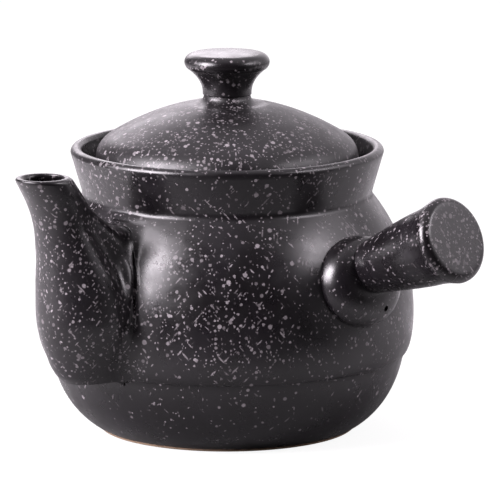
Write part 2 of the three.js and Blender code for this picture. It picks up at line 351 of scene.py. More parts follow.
def refine(piece: bpy.types.Object, near: Field, reach: float, longest: float) -> None:
    """Halves the long edges of a piece that lie within reach of a surface.

    Args:
        piece: The piece.
        near: The distance of points from the surface.
        reach: How near an edge's ends must be.
        longest: The length up to which an edge stays whole.
    """
    body = bmesh.new()
    body.from_mesh(piece.data)
    points = np.array([corner.co[:] for corner in body.verts])
    close = np.abs(near(points)) < reach
    edges = [
        edge
        for edge in body.edges
        if edge.calc_length() > longest and all(close[corner.index] for corner in edge.verts)
    ]
    bmesh.ops.subdivide_edges(body, edges=edges, cuts=1, use_grid_fill=True)
    bmesh.ops.triangulate(body, faces=[face for face in body.faces if len(face.verts) > 4])
    body.to_mesh(piece.data)
    body.free()


def push(piece: bpy.types.Object, move: Callable[[np.ndarray], np.ndarray]) -> None:
    """Moves each corner of a piece to where a function of all the corners puts it.

    Args:
        piece: The piece.
        move: Where the corners go, as a function of where they are.
    """
    points = np.zeros(len(piece.data.vertices) * 3)
    piece.data.vertices.foreach_get("co", points)
    piece.data.vertices.foreach_set("co", move(points.reshape(-1, 3)).ravel())
    piece.data.update()


# Node trees.

Feed = bpy.types.NodeSocket | float | tuple


class NodeSketch:
    """A node tree with short ways to add nodes and feed their sockets."""

    def __init__(self, tree: bpy.types.NodeTree) -> None:
        """Keeps the tree that the nodes are added to."""
        self.tree = tree

    def feed(self, socket: bpy.types.NodeSocket, value: Feed) -> None:
        """Links a socket to another one, or sets its own value.

        Args:
            socket: The input socket.
            value: The socket to link from, or the value.
        """
        if isinstance(value, bpy.types.NodeSocket):
            self.tree.links.new(value, socket)
        else:
            socket.default_value = value

    def add(self, kind: str, inputs: dict[str, Feed] | None = None, **settings: object) -> bpy.types.Node:
        """Adds a node.

        Args:
            kind: The node's type name.
            inputs: Values or sockets for its inputs, by name.
            settings: The node's own settings.

        Returns:
            The new node.
        """
        node = self.tree.nodes.new(kind)
        for name, value in settings.items():
            setattr(node, name, value)
        for name, value in (inputs or {}).items():
            self.feed(node.inputs[name], value)
        return node

    def math(
        self, operation: str, first: Feed, second: Feed = 0.0, clamp: bool = False
    ) -> bpy.types.NodeSocket:
        """The result of a calculation with one or two numbers.

        Args:
            operation: The name of the calculation.
            first: The first number.
            second: The second number, where there is one.
            clamp: Whether the result is held between 0 and 1.

        Returns:
            The result's socket.
        """
        node = self.add("ShaderNodeMath", operation=operation, use_clamp=clamp)
        self.feed(node.inputs[0], first)
        self.feed(node.inputs[1], second)
        return node.outputs[0]

    def vector(
        self, operation: str, first: Feed, second: Feed = (0, 0, 0), scale: Feed = 1.0
    ) -> bpy.types.NodeSocket:
        """The result of a calculation with vectors.

        Args:
            operation: The name of the calculation.
            first: The first vector.
            second: The second vector, where there is one.
            scale: The factor of a SCALE.

        Returns:
            The socket of the resulting vector or number.
        """
        node = self.add("ShaderNodeVectorMath", operation=operation)
        scaling = operation == "SCALE"
        self.feed(node.inputs[0], first)
        self.feed(node.inputs[3 if scaling else 1], scale if scaling else second)
        return node.outputs["Value" if operation in ("DOT_PRODUCT", "LENGTH") else "Vector"]

    def noise(
        self, place: bpy.types.NodeSocket, scale: float, detail: float = 2.0
    ) -> bpy.types.bpy_prop_collection:
        """A soft noise in space.

        Args:
            place: Where it is read, in metres.
            scale: Its waves to the metre.
            detail: How many finer noises it is made of.

        Returns:
            The noise's outputs.
        """
        given = {"Vector": place, "Scale": scale, "Detail": detail}
        return self.add("ShaderNodeTexNoise", given).outputs

    def span(
        self, value: Feed, low: float, high: float, to_low: Feed = 0.0, to_high: Feed = 1.0
    ) -> bpy.types.NodeSocket:
        """A value carried smoothly from one range to another, and held at its ends.

        Args:
            value: The reading.
            low: Where the range that is read begins.
            high: Where it ends.
            to_low: The result below that range.
            to_high: The result above it.

        Returns:
            The result's socket.
        """
        node = self.add("ShaderNodeMapRange", interpolation_type="SMOOTHSTEP")
        for name, number in (("Value", value), ("From Min", low), ("From Max", high)):
            self.feed(node.inputs[name], number)
        self.feed(node.inputs["To Min"], to_low)
        self.feed(node.inputs["To Max"], to_high)
        return node.outputs["Result"]

    def blend(self, share: Feed, first: Feed, second: Feed) -> bpy.types.NodeSocket:
        """A colour between two colours.

        Args:
            share: How much there is of the second colour.
            first: The first colour.
            second: The second colour.

        Returns:
            The socket of the mixed colour.
        """
        node = self.add("ShaderNodeMix", data_type="RGBA")
        for socket, value in zip((node.inputs[0], node.inputs[6], node.inputs[7]), (share, first, second)):
            self.feed(socket, value)
        return node.outputs[2]


class ShapingTree:
    """A Geometry Nodes tree with named inputs that shapes one piece at a time."""

    def __init__(self, name: str, inputs: dict[str, str]) -> None:
        """Makes the tree and its inputs.

        Args:
            name: The tree's name.
            inputs: The kind of value that each input takes, by the input's name.
        """
        self.tree = bpy.data.node_groups.new(name, "GeometryNodeTree")
        self.sockets: dict[str, str] = {}
        kinds = {"Geometry": "Geometry", **inputs, "Material": "Material"}
        for label, kind in kinds.items():
            socket = self.tree.interface.new_socket(label, in_out="INPUT", socket_type=f"NodeSocket{kind}")
            self.sockets[label] = socket.identifier
        self.tree.interface.new_socket("Geometry", in_out="OUTPUT", socket_type="NodeSocketGeometry")
        self.sketch = NodeSketch(self.tree)
        self.given = self.sketch.add("NodeGroupInput").outputs

    def end(self, shaped: bpy.types.NodeSocket) -> None:
        """Ends the tree in one plain mesh of one material.

        Args:
            shaped: The geometry that the tree has made.
        """
        realized = self.sketch.add("GeometryNodeRealizeInstances", {"Geometry": shaped})
        dressed = self.sketch.add(
            "GeometryNodeSetMaterial",
            {"Geometry": realized.outputs["Geometry"], "Material": self.given["Material"]},
        )
        self.sketch.add("NodeGroupOutput", {"Geometry": dressed.outputs["Geometry"]})

    def shape(
        self, piece: bpy.types.Object, material: bpy.types.Material, values: dict[str, object]
    ) -> None:
        """Shapes a piece, and keeps the result as its plain mesh.

        Args:
            piece: The piece, with the mesh that the tree starts from.
            material: The material of the whole piece.
            values: The values of the tree's own inputs, by name.
        """
        shaping = piece.modifiers.new("shaping", "NODES")
        shaping.node_group = self.tree
        for label, value in {**values, "Material": material}.items():
            shaping[self.sockets[label]] = value
        bake(piece)


class TurningTree(ShapingTree):
    """Geometry Nodes that turn an outline about +Z, with the slight unevenness of a hand-made pot."""

    path_radius: float = 50 * MM
    wave_count: float = 14.0
    seed: float = 3.0
    flat_below: float = 12 * MM

    def __init__(self) -> None:
        """Builds the tree once for all turned pieces."""
        super().__init__(
            "turned_clay",
            {
                "Sides": "Int",
                "Path Radius": "Float",
                "Unevenness": "Float",
                "Wave Count": "Float",
                "Seed": "Float",
                "Flat Below": "Float",
            },
        )
        sketch, given = self.sketch, self.given
        outline = sketch.add("GeometryNodeMeshToCurve", {"Mesh": given["Geometry"]})
        circle = sketch.add(
            "GeometryNodeCurvePrimitiveCircle",
            {"Resolution": given["Sides"], "Radius": given["Path Radius"]},
        )
        swept = sketch.add(
            "GeometryNodeCurveToMesh",
            {"Curve": circle.outputs["Curve"], "Profile Curve": outline.outputs["Curve"]},
        )
        merged = sketch.add(
            "GeometryNodeMergeByDistance", {"Geometry": swept.outputs["Mesh"], "Distance": SAME_PLACE}
        )
        offset = self._wandering(sketch.add("GeometryNodeInputPosition").outputs["Position"])
        moved = sketch.add(
            "GeometryNodeSetPosition", {"Geometry": merged.outputs["Geometry"], "Offset": offset}
        )
        self.end(moved.outputs["Geometry"])

    def _wandering(self, place: bpy.types.NodeSocket) -> bpy.types.NodeSocket:
        """How far each point wanders: less and less towards the flat base.

        Args:
            place: Where each point is.

        Returns:
            How far each point moves.
        """
        sketch, given = self.sketch, self.given
        noise = sketch.add(
            "ShaderNodeTexNoise",
            {"Vector": place, "W": given["Seed"], "Scale": given["Wave Count"], "Detail": 1.0},
            noise_dimensions="4D",
        )
        centred = sketch.vector("SUBTRACT", noise.outputs["Color"], (0.5, 0.5, 0.5))
        height = sketch.add("ShaderNodeSeparateXYZ", {"Vector": place}).outputs["Z"]
        free = sketch.math("DIVIDE", height, given["Flat Below"], clamp=True)
        amount = sketch.math("MULTIPLY", free, given["Unevenness"])
        return sketch.vector("SCALE", centred, scale=amount)

    def turn(
        self,
        name: str,
        outline: Outline,
        material: bpy.types.Material,
        sides: int = 256,
        place: Matrix | None = None,
        ring: bool = False,
        unevenness: float = 0.5 * MM,
    ) -> bpy.types.Object:
        """Turns an outline into a closed piece.

        Args:
            name: The new object's name.
            outline: Points in radius and height, from axis to axis or round a ring's section.
            material: The material of the whole piece.
            sides: How many sides the turned shape has.
            place: Where the turned shape goes, or None to leave it on +Z.
            ring: Whether the outline closes on itself.
            unevenness: How far the surface may wander.

        Returns:
            The finished object.
        """
        points = [(radius - self.path_radius, -height, 0.0) for radius, height in outline]
        edges = [(i, i + 1) for i in range(len(points) - 1)]
        if ring:
            edges.append((len(points) - 1, 0))
        mesh = bpy.data.meshes.new(name)
        mesh.from_pydata(points, edges, [])
        piece = new_object(name, mesh)
        values = {
            "Sides": sides,
            "Path Radius": self.path_radius,
            "Unevenness": unevenness,
            "Wave Count": self.wave_count,
            "Seed": self.seed,
            "Flat Below": self.flat_below,
        }
        self.shape(piece, material, values)
        tidy(piece)
        if place is not None:
            piece.data.transform(place)
        return piece


class PiercingTree(ShapingTree):
    """Geometry Nodes that pierce a plate with one hole and rings of six, twelve and so on about it."""

    hole_sides = 20

    def __init__(self) -> None:
        """Builds the tree."""
        super().__init__(
            "pierced_plate",
            {
                "Hole Count": "Int",
                "Pitch": "Float",
                "Hole Radius": "Float",
                "Depth": "Float",
                "Centre": "Vector",
            },
        )
        sketch, given = self.sketch, self.given
        place = sketch.vector("ADD", self._spot(), given["Centre"])
        points = sketch.add("GeometryNodePoints", {"Count": given["Hole Count"], "Position": place})
        drill = sketch.add(
            "GeometryNodeMeshCylinder",
            {"Vertices": self.hole_sides, "Radius": given["Hole Radius"], "Depth": given["Depth"]},
        )
        holes = sketch.add(
            "GeometryNodeInstanceOnPoints",
            {
                "Points": points.outputs["Points"],
                "Instance": drill.outputs["Mesh"],
                "Rotation": (math.pi / 2, 0.0, 0.0),
            },
        )
        solid_holes = sketch.add("GeometryNodeRealizeInstances", {"Geometry": holes.outputs["Instances"]})
        pierced = sketch.add(
            "GeometryNodeMeshBoolean",
            {"Mesh 1": given["Geometry"], "Mesh 2": solid_holes.outputs["Geometry"]},
            operation="DIFFERENCE",
        )
        self.end(pierced.outputs["Mesh"])

    def _spot(self) -> bpy.types.NodeSocket:
        """Where each hole stands from the middle, by its place in the count.

        Ring k has 6k holes, and 3k(k - 1) + 1 holes come before it.

        Returns:
            The place of each hole about the middle.
        """
        sketch = self.sketch
        index = sketch.add("GeometryNodeInputIndex").outputs["Index"]
        counted = sketch.math("SUBTRACT", sketch.math("MULTIPLY", index, 12.0), 3.0)
        root = sketch.math("SQRT", sketch.math("MAXIMUM", counted, 0.0))
        ring = sketch.math("FLOOR", sketch.math("DIVIDE", sketch.math("ADD", root, 3.0), 6.0))
        pairs = sketch.math("MULTIPLY", ring, sketch.math("SUBTRACT", ring, 1.0))
        first = sketch.math("ADD", sketch.math("MULTIPLY", pairs, 3.0), 1.0)
        in_ring = sketch.math("MAXIMUM", sketch.math("MULTIPLY", ring, 6.0), 1.0)
        turn = sketch.math("DIVIDE", sketch.math("SUBTRACT", index, first), in_ring)
        angle = sketch.math("MULTIPLY", turn, 2 * math.pi)
        reach = sketch.math("MULTIPLY", ring, self.given["Pitch"])
        across = sketch.math("MULTIPLY", reach, sketch.math("COSINE", angle))
        up = sketch.math("MULTIPLY", reach, sketch.math("SINE", angle))
        return sketch.add("ShaderNodeCombineXYZ", {"X": across, "Z": up}).outputs["Vector"]


# Finishes.


FIRED_CLAY: Colour = (0.36, 0.25, 0.17, 1.0)


@dataclass(frozen=True)
class SpeckLayer:
    """One size of pale speck in the glaze: small blots or short strokes.

    Each cell has at most one speck. Its radius, as a share of the cell, is between the largest and the
    least share of the largest.
    """

    cell: float
    largest: float
    least_share: float
    kept: float
    stretch: float = 1.0
    turn: tuple[float, float, float] = (0.0, 0.0, 0.0)


def stroke_layers() -> tuple[SpeckLayer, ...]:
    """Short strokes that lean four ways, so that every side has some that cross.

    Returns:
        One layer for each lean.
    """
    lean, first_side = 42, 43
    turns = [(0.0, math.radians(lean), math.radians(first_side + 90 * side)) for side in range(4)]
    return tuple(
        SpeckLayer(cell=2.5 * MM, largest=0.27, least_share=0.65, kept=0.75, stretch=6.5, turn=turn)
        for turn in turns
    )


@dataclass(frozen=True)
class SpeckledGlaze:
    """A satin charcoal glaze with pale blots, specks and strokes.

    The scales are those of noises, in waves to the metre. A noise is read between the two readings of its
    span.
    """

    name: str
    base: Colour = (0.0046, 0.0038, 0.0045, 1.0)
    cloudy: Colour = (0.0075, 0.0063, 0.0078, 1.0)
    pale: Colour = (0.23, 0.21, 0.221, 1.0)
    dim: Colour = (0.075, 0.067, 0.071, 1.0)
    clay: Colour = FIRED_CLAY
    clay_roughness: float = 0.85
    clay_fade: float = 0.3 * MM
    roughness: float = 0.3
    speck_roughness: float = 0.1
    speck_softness: float = 0.14
    speck_relief: float = 0.35
    ragged: float = 0.8 * MM
    relief: float = 0.12 * MM
    cloud_scale: float = 38.0
    cloud_span: Point = (0.35, 0.7)
    gloss_scale: float = 90.0
    gloss_spread: Point = (-0.04, 0.05)
    drift_scale: float = 24.0
    drift_shares: Point = (0.45, 1.35)
    noise_span: Point = (0.3, 0.7)
    ragged_scale: float = 700.0
    wander_scale: float = 60.0
    wander: float = 1.2 * MM
    ripple_scale: float = 260.0
    ripple_strength: float = 0.25
    thinnest: float = 0.2
    density: float = 1.0
    thins_below: tuple[float, float] | None = None
    bare_below: float | None = None
    layers: tuple[SpeckLayer, ...] = field(
        default=(
            SpeckLayer(cell=4.4 * MM, largest=0.38, least_share=0.45, kept=0.64),
            SpeckLayer(cell=2.8 * MM, largest=0.4, least_share=0.55, kept=0.58),
            SpeckLayer(1.6 * MM, 0.42, 0.7, 0.14),
            *stroke_layers(),
        )
    )

    def make(self) -> bpy.types.Material:
        """Builds the material.

        Returns:
            The new material.
        """
        material = bpy.data.materials.new(self.name)
        material.use_nodes = True
        sketch = NodeSketch(material.node_tree)
        shader = material.node_tree.nodes["Principled BSDF"]
        place = sketch.add("ShaderNodeTexCoord").outputs["Object"]
        ragged = self._ragged(sketch, place)
        amount = self._amount(sketch, place)
        mask: Feed = 0.0
        tone: Feed = 0.0
        for layer in self.layers:
            spot, shade = self._specks(sketch, ragged, layer, amount)
            tone = sketch.math("MAXIMUM", tone, sketch.math("MULTIPLY", spot, shade))
            mask = sketch.math("MAXIMUM", mask, spot)
        clouds = sketch.noise(place, self.cloud_scale, detail=3.0)
        cloud = sketch.span(clouds["Fac"], *self.cloud_span)
        ground = sketch.blend(cloud, self.base, self.cloudy)
        speck = sketch.blend(tone, self.dim, self.pale)
        colour = sketch.blend(mask, ground, speck)
        gloss = sketch.noise(place, self.gloss_scale)
        smooth, dull = (self.roughness + change for change in self.gloss_spread)
        spread = sketch.span(gloss["Fac"], *self.noise_span, smooth, dull)
        roughness = sketch.math("ADD", spread, sketch.math("MULTIPLY", mask, self.speck_roughness))
        if self.bare_below is not None:
            bare = self._bare(sketch, place)
            colour = sketch.blend(bare, colour, self.clay)
            rough = sketch.math("MULTIPLY", bare, self.clay_roughness)
            roughness = sketch.math("MAXIMUM", roughness, rough)
        sketch.feed(shader.inputs["Base Color"], colour)
        sketch.feed(shader.inputs["Roughness"], roughness)
        sketch.feed(shader.inputs["Normal"], self._relief(sketch, place, mask))
        return material

    def _ragged(self, sketch: NodeSketch, place: bpy.types.NodeSocket) -> bpy.types.NodeSocket:
        """Object coordinates shaken a little, so that no speck is a true circle.

        Args:
            sketch: The material's tree.
            place: The coordinates, in metres.

        Returns:
            The shaken coordinates.
        """
        noise = sketch.noise(place, self.ragged_scale)
        centred = sketch.vector("SUBTRACT", noise["Color"], (0.5, 0.5, 0.5))
        return sketch.vector("ADD", place, sketch.vector("SCALE", centred, scale=self.ragged))

    def _amount(self, sketch: NodeSketch, place: bpy.types.NodeSocket) -> bpy.types.NodeSocket:
        """How many specks there are at each place: in drifts, and fewer low down where asked.

        Args:
            sketch: The material's tree.
            place: The coordinates, in metres.

        Returns:
            The share of the specks that is kept.
        """
        drift = sketch.noise(place, self.drift_scale)
        few, many = (share * self.density for share in self.drift_shares)
        amount = sketch.span(drift["Fac"], *self.noise_span, few, many)
        if self.thins_below is None:
            return amount
        height = sketch.add("ShaderNodeSeparateXYZ", {"Vector": place}).outputs["Z"]
        low, high = self.thins_below
        return sketch.math("MULTIPLY", amount, sketch.span(height, low, high, self.thinnest, 1.0))

    def _specks(
        self,
        sketch: NodeSketch,
        place: bpy.types.NodeSocket,
        layer: SpeckLayer,
        amount: bpy.types.NodeSocket,
    ) -> tuple[bpy.types.NodeSocket, bpy.types.NodeSocket]:
        """One layer of specks.

        Args:
            sketch: The material's tree.
            place: The coordinates, in metres.
            layer: The sizes of the specks.
            amount: The share of them that is kept, times the layer's own.

        Returns:
            Where the specks are, and how pale each is.
        """
        mapping = sketch.add("ShaderNodeMapping", {"Vector": place}, vector_type="TEXTURE")
        mapping.inputs["Rotation"].default_value = Euler(layer.turn)
        mapping.inputs["Scale"].default_value = (1, 1, layer.stretch)
        cells = sketch.add(
            "ShaderNodeTexVoronoi", {"Vector": mapping.outputs["Vector"], "Scale": 1 / layer.cell}
        )
        chance = sketch.add("ShaderNodeSeparateColor", {"Color": cells.outputs["Color"]}).outputs
        least = layer.largest * layer.least_share
        size = sketch.math("MULTIPLY", chance["Red"], chance["Red"])
        radius = sketch.span(size, 0.0, 1.0, least, layer.largest)
        depth = sketch.math("SUBTRACT", radius, cells.outputs["Distance"])
        spot = sketch.span(depth, 0.0, self.speck_softness)
        kept = sketch.math("LESS_THAN", chance["Green"], sketch.math("MULTIPLY", amount, layer.kept))
        return sketch.math("MULTIPLY", spot, kept), chance["Blue"]

    def _bare(self, sketch: NodeSketch, place: bpy.types.NodeSocket) -> bpy.types.NodeSocket:
        """Where the clay is wiped bare round the foot, with a slightly wandering edge.

        Args:
            sketch: The material's tree.
            place: The coordinates, in metres.

        Returns:
            One on the bare clay, nought on the glaze.
        """
        height = sketch.add("ShaderNodeSeparateXYZ", {"Vector": place}).outputs["Z"]
        noise = sketch.noise(place, self.wander_scale)
        edge = sketch.math("ADD", height, sketch.math("MULTIPLY", noise["Fac"], self.wander))
        low = self.bare_below + 0.5 * MM
        return sketch.span(edge, low, low + self.clay_fade, 1.0, 0.0)

    def _relief(
        self, sketch: NodeSketch, place: bpy.types.NodeSocket, mask: bpy.types.NodeSocket
    ) -> bpy.types.NodeSocket:
        """The fine unevenness of the fired glaze, with each speck standing a little proud.

        Args:
            sketch: The material's tree.
            place: The coordinates, in metres.
            mask: Where the specks are.

        Returns:
            The normal that the shader takes.
        """
        ripple = sketch.noise(place, self.ripple_scale, detail=3.0)
        proud = sketch.math("MULTIPLY", mask, self.speck_relief)
        height = sketch.math("ADD", ripple["Fac"], proud)
        bump = sketch.add(
            "ShaderNodeBump",
            {"Height": height, "Strength": self.ripple_strength, "Distance": self.relief},
        )
        return bump.outputs["Normal"]


@dataclass(frozen=True)
class BareClay:
    """Unglazed fired clay with fine sand in it."""

    name: str = "bare_fired_clay"
    light: Colour = FIRED_CLAY
    dark: Colour = (0.2, 0.13, 0.09, 1.0)
    roughness: float = 0.86
    relief: float = 0.1 * MM
    blotch_scale: float = 60.0
    sand_scale: float = 1400.0
    sand_span: Point = (0.35, 0.65)
    sand_share: float = 0.3
    sand_strength: float = 0.4

    def make(self) -> bpy.types.Material:
        """Builds the material.

        Returns:
            The new material.
        """
        material = bpy.data.materials.new(self.name)
        material.use_nodes = True
        sketch = NodeSketch(material.node_tree)
        shader = material.node_tree.nodes["Principled BSDF"]
        place = sketch.add("ShaderNodeTexCoord").outputs["Object"]
        blotch = sketch.noise(place, self.blotch_scale, detail=4.0)
        sand = sketch.noise(place, self.sand_scale)
        grain = sketch.span(sand["Fac"], *self.sand_span)
        colour = sketch.blend(blotch["Fac"], self.dark, self.light)
        speckled = sketch.blend(sketch.math("MULTIPLY", grain, self.sand_share), colour, self.dark)
        sketch.feed(shader.inputs["Base Color"], speckled)
        shader.inputs["Roughness"].default_value = self.roughness
        bump = sketch.add(
            "ShaderNodeBump", {"Height": grain, "Strength": self.sand_strength, "Distance": self.relief}
        )
        sketch.feed(shader.inputs["Normal"], bump.outputs["Normal"])
        return material


# The pot's body.


@dataclass
class PotBody:
    """The bowl, the belly and the collar, which are thrown and luted one on another."""

    wheel: TurningTree
    glaze: bpy.types.Material
    foot_radius: float = 69.3 * MM
    foot_round: float = 1.2 * MM
    waist_height: float = 41 * MM
    waist_inset: float = 5.2 * MM
    waist_round: float = 0.9 * MM
    waist_fillet: float = 3.2 * MM
    waist_fillet_rise: float = 2.4 * MM
    neck_fillet: float = 2.6 * MM
    neck_fillet_drop: float = 0.75
    bowl_bulge: float = 5.6 * MM
    bowl_bulge_share: float = 0.57
    belly_radius: float = 100.5 * MM
    belly_height: float = 62.5 * MM
    neck_radius: float = 77.4 * MM
    neck_height: float = 127 * MM
    wall: float = 5.5 * MM
    base_thickness: float = 6.5 * MM
    collar_rise: float = 25.7 * MM
    collar_flare: float = 6.5 * MM
    rim_thickness: float = 6 * MM
    lip_height: float = 6.2 * MM
    collar_foot_width: float = 6 * MM
    ledge_rise: float = 11 * MM
    ledge_width: float = 10.4 * MM
    ledge_thickness: float = 3.6 * MM
    ledge_round: float = 1.2 * MM
    spacing: float = 2.2 * MM
    belly_sides: int = 384

    @property
    def waist_radius(self) -> float:
        """The radius at the step between bowl and belly."""
        return self.belly_radius - self.waist_inset

    @property
    def rim_radius(self) -> float:
        """The collar's widest radius."""
        return self.neck_radius + self.collar_flare

    @property
    def rim_height(self) -> float:
        """The height of the collar's lip."""
        return self.neck_height + self.collar_rise

    @property
    def ledge_height(self) -> float:
        """The height of the ledge that carries the lid."""
        return self.neck_height + self.ledge_rise

    def bowl_side(self, inset: float, lowest: float, steps: int) -> Outline:
        """The bowl's side from the waist down to the foot, moved inwards by an inset.

        Args:
            inset: How far inwards it is moved.
            lowest: The height that it ends at.
            steps: How many stretches it is divided into.

        Returns:
            The points, from the waist down.
        """
        top = Vector((self.waist_radius - inset, self.waist_height))
        foot = Vector((self.foot_radius - inset, lowest))
        chord = foot - top
        outward = Vector((-chord.y, chord.x)).normalized()
        pull = top.lerp(foot, self.bowl_bulge_share) + outward * 2 * self.bowl_bulge
        return bezier(tuple(top), tuple(pull), tuple(foot), steps)

    def shoulder_arc(self) -> tuple[float, float]:
        """The radius of the arc from the belly's widest place to the neck, and its centre's radius.

        Returns:
            The two radii.
        """
        inward = self.belly_radius - self.neck_radius
        rise = self.neck_height - self.belly_height
        arc_radius = (inward**2 + rise**2) / (2 * inward)
        return arc_radius, self.belly_radius - arc_radius

    def belly_side(self, inset: float, low_steps: int, high_steps: int) -> Outline:
        """The belly's side from the waist up to the neck, moved inwards by an inset.

        Args:
            inset: How far inwards it is moved.
            low_steps: How many stretches there are below the widest place.
            high_steps: How many there are above it.

        Returns:
            The points, from the waist up.
        """
        drop = self.belly_height - self.waist_height
        low_centre = (self.waist_radius - inset, self.belly_height)
        low = ellipse_arc(low_centre, self.waist_inset, drop, -math.pi / 2, 0, low_steps)
        arc_radius, centre_radius = self.shoulder_arc()
        end = math.asin((self.neck_height - self.belly_height) / arc_radius)
        high_centre = (centre_radius - inset, self.belly_height)
        high = ellipse_arc(high_centre, arc_radius, arc_radius, 0, end, high_steps)
        return [*low, *high[1:]]

    def belly_low_point(self, rise: float) -> Point:
        """The point of the belly's side at a rise above the waist.

        Args:
            rise: The rise above the waist, below the widest place.

        Returns:
            The point's radius and height.
        """
        drop = self.belly_height - self.waist_height
        level = (drop - rise) / drop
        return self.waist_radius + self.waist_inset * math.sqrt(1 - level**2), self.waist_height + rise

    def belly_radius_at(self, height: float | np.ndarray) -> float | np.ndarray:
        """The belly's outer radius at a height near its widest place or above it."""
        arc_radius, centre_radius = self.shoulder_arc()
        return centre_radius + np.sqrt(arc_radius**2 - (height - self.belly_height) ** 2)

    def distance(self, points: np.ndarray) -> np.ndarray:
        """How far points lie outside the belly's outer face; below nought inside it.

        Args:
            points: Points in the pot's frame.

        Returns:
            The distance of each point.
        """
        bowl = self.bowl_side(0, 0, steps=24)[:0:-1]
        side = np.array([*bowl, *self.belly_side(0, low_steps=24, high_steps=48)])
        radius = np.hypot(points[:, 0], points[:, 1])
        place = np.stack([radius, points[:, 2]], axis=-1)
        best = np.full(len(points), np.inf)
        signed = np.zeros(len(points))
        for low, high in zip(side, side[1:]):
            chord = high - low
            share = np.clip((place - low) @ chord / (chord @ chord), 0, 1)
            offset = place - (low + share[:, None] * chord)
            away = np.linalg.norm(offset, axis=1)
            sign = np.sign(offset[:, 0] * chord[1] - offset[:, 1] * chord[0])
            nearer = away < best
            best = np.where(nearer, away, best)
            signed = np.where(nearer, away * sign, signed)
        return signed

    def cutter(self, name: str) -> bpy.types.Object:
        """The whole space inside the belly's outer face, for cutting what is luted to it.

        Args:
            name: The object's name.

        Returns:
            The closed shape.
        """
        overrun = 20 * MM
        side = self.belly_side(0, low_steps=16, high_steps=48)
        lowest = (self.waist_radius, self.waist_height - overrun)
        highest = (self.neck_radius, self.neck_height + overrun)
        outline = [(0.0, lowest[1]), lowest, *side, highest, (0.0, highest[1])]
        return self.wheel.turn(name, outline, self.glaze, unevenness=0.0)

    def bowl(self) -> bpy.types.Object:
        """The footed bowl below the waist.

        Returns:
            The finished piece.
        """
        edge = self.foot_round
        soft = self.waist_round
        foot = ellipse_arc((self.foot_radius - edge, edge), edge, edge, -math.pi / 2, 0, steps=4)
        outside = self.bowl_side(0, edge, steps=40)[::-1]
        outside = [point for point in outside if point[1] < self.waist_height - self.waist_fillet]
        meeting = self.belly_low_point(self.waist_fillet_rise)
        corner = (self.waist_radius, self.waist_height + soft / 2)
        top = bezier(outside[-1], corner, meeting, steps=8)
        top.append((self.waist_radius - soft, self.waist_height))
        inside = self.bowl_side(self.wall, self.base_thickness, steps=26)
        outline = [(0.0, 0.0), *foot, *outside[1:], *top[1:], *inside, (0.0, self.base_thickness)]
        return self.wheel.turn("bowl_shell", divided(outline, self.spacing), self.glaze)

    def belly(self) -> bpy.types.Object:
        """The round upper body from the waist to the neck.

        Returns:
            The ring-shaped wall, plain all round.
        """
        inside = self.belly_side(self.wall, low_steps=12, high_steps=30)[::-1]
        outside = self.belly_side(0, low_steps=30, high_steps=56)
        section = divided_ring([*outside, *inside], self.spacing)
        return self.wheel.turn("belly_body", section, self.glaze, sides=self.belly_sides, ring=True)

    def collar_inner_radius(self, height: float) -> float:
        """The collar's inner face at a height: the outer flare moved inwards by the rim's thickness."""
        share = (height - self.neck_height) / (self.collar_rise - self.lip_height / 2)
        return self.neck_radius + self.collar_flare * share - self.rim_thickness

    @property
    def ledge_inner_radius(self) -> float:
        """The radius of the opening inside the ledge."""
        return self.collar_inner_radius(self.ledge_height) - self.ledge_width

    def collar(self) -> bpy.types.Object:
        """The flared ring with its lip outside and the lid's ledge inside.

        Returns:
            The finished piece.
        """
        half = self.rim_thickness / 2
        soft = self.ledge_round
        lip_centre = (self.rim_radius - half, self.rim_height - self.lip_height / 2)
        lip = ellipse_arc(lip_centre, half, self.lip_height / 2, 0, math.pi, steps=18)
        inner = self.ledge_inner_radius
        edge = (inner + soft, self.ledge_height - soft)
        ledge = ellipse_arc(edge, soft, soft, math.pi / 2, math.pi, steps=4)
        under_edge = (inner + soft, self.ledge_height - self.ledge_thickness + soft)
        under_turn = 1.4 * math.pi
        under = ellipse_arc(under_edge, soft, soft, math.pi, under_turn, steps=4)
        reach = self.neck_fillet
        flare = self.collar_flare / (self.collar_rise - self.lip_height / 2)
        low = self.neck_height - self.neck_fillet_drop * reach
        foot = bezier(
            (self.belly_radius_at(low), low),
            (self.neck_radius, self.neck_height),
            (self.neck_radius + flare * reach, self.neck_height + reach),
            steps=10,
        )
        section = [
            *foot,
            *lip,
            (self.collar_inner_radius(self.ledge_height), self.ledge_height),
            *ledge,
            *under,
            (self.neck_radius - self.collar_foot_width, self.neck_height),
        ]
        section = divided_ring(section, self.spacing)
        return self.wheel.turn("collar_ring", section, self.glaze, ring=True)


# The spout.


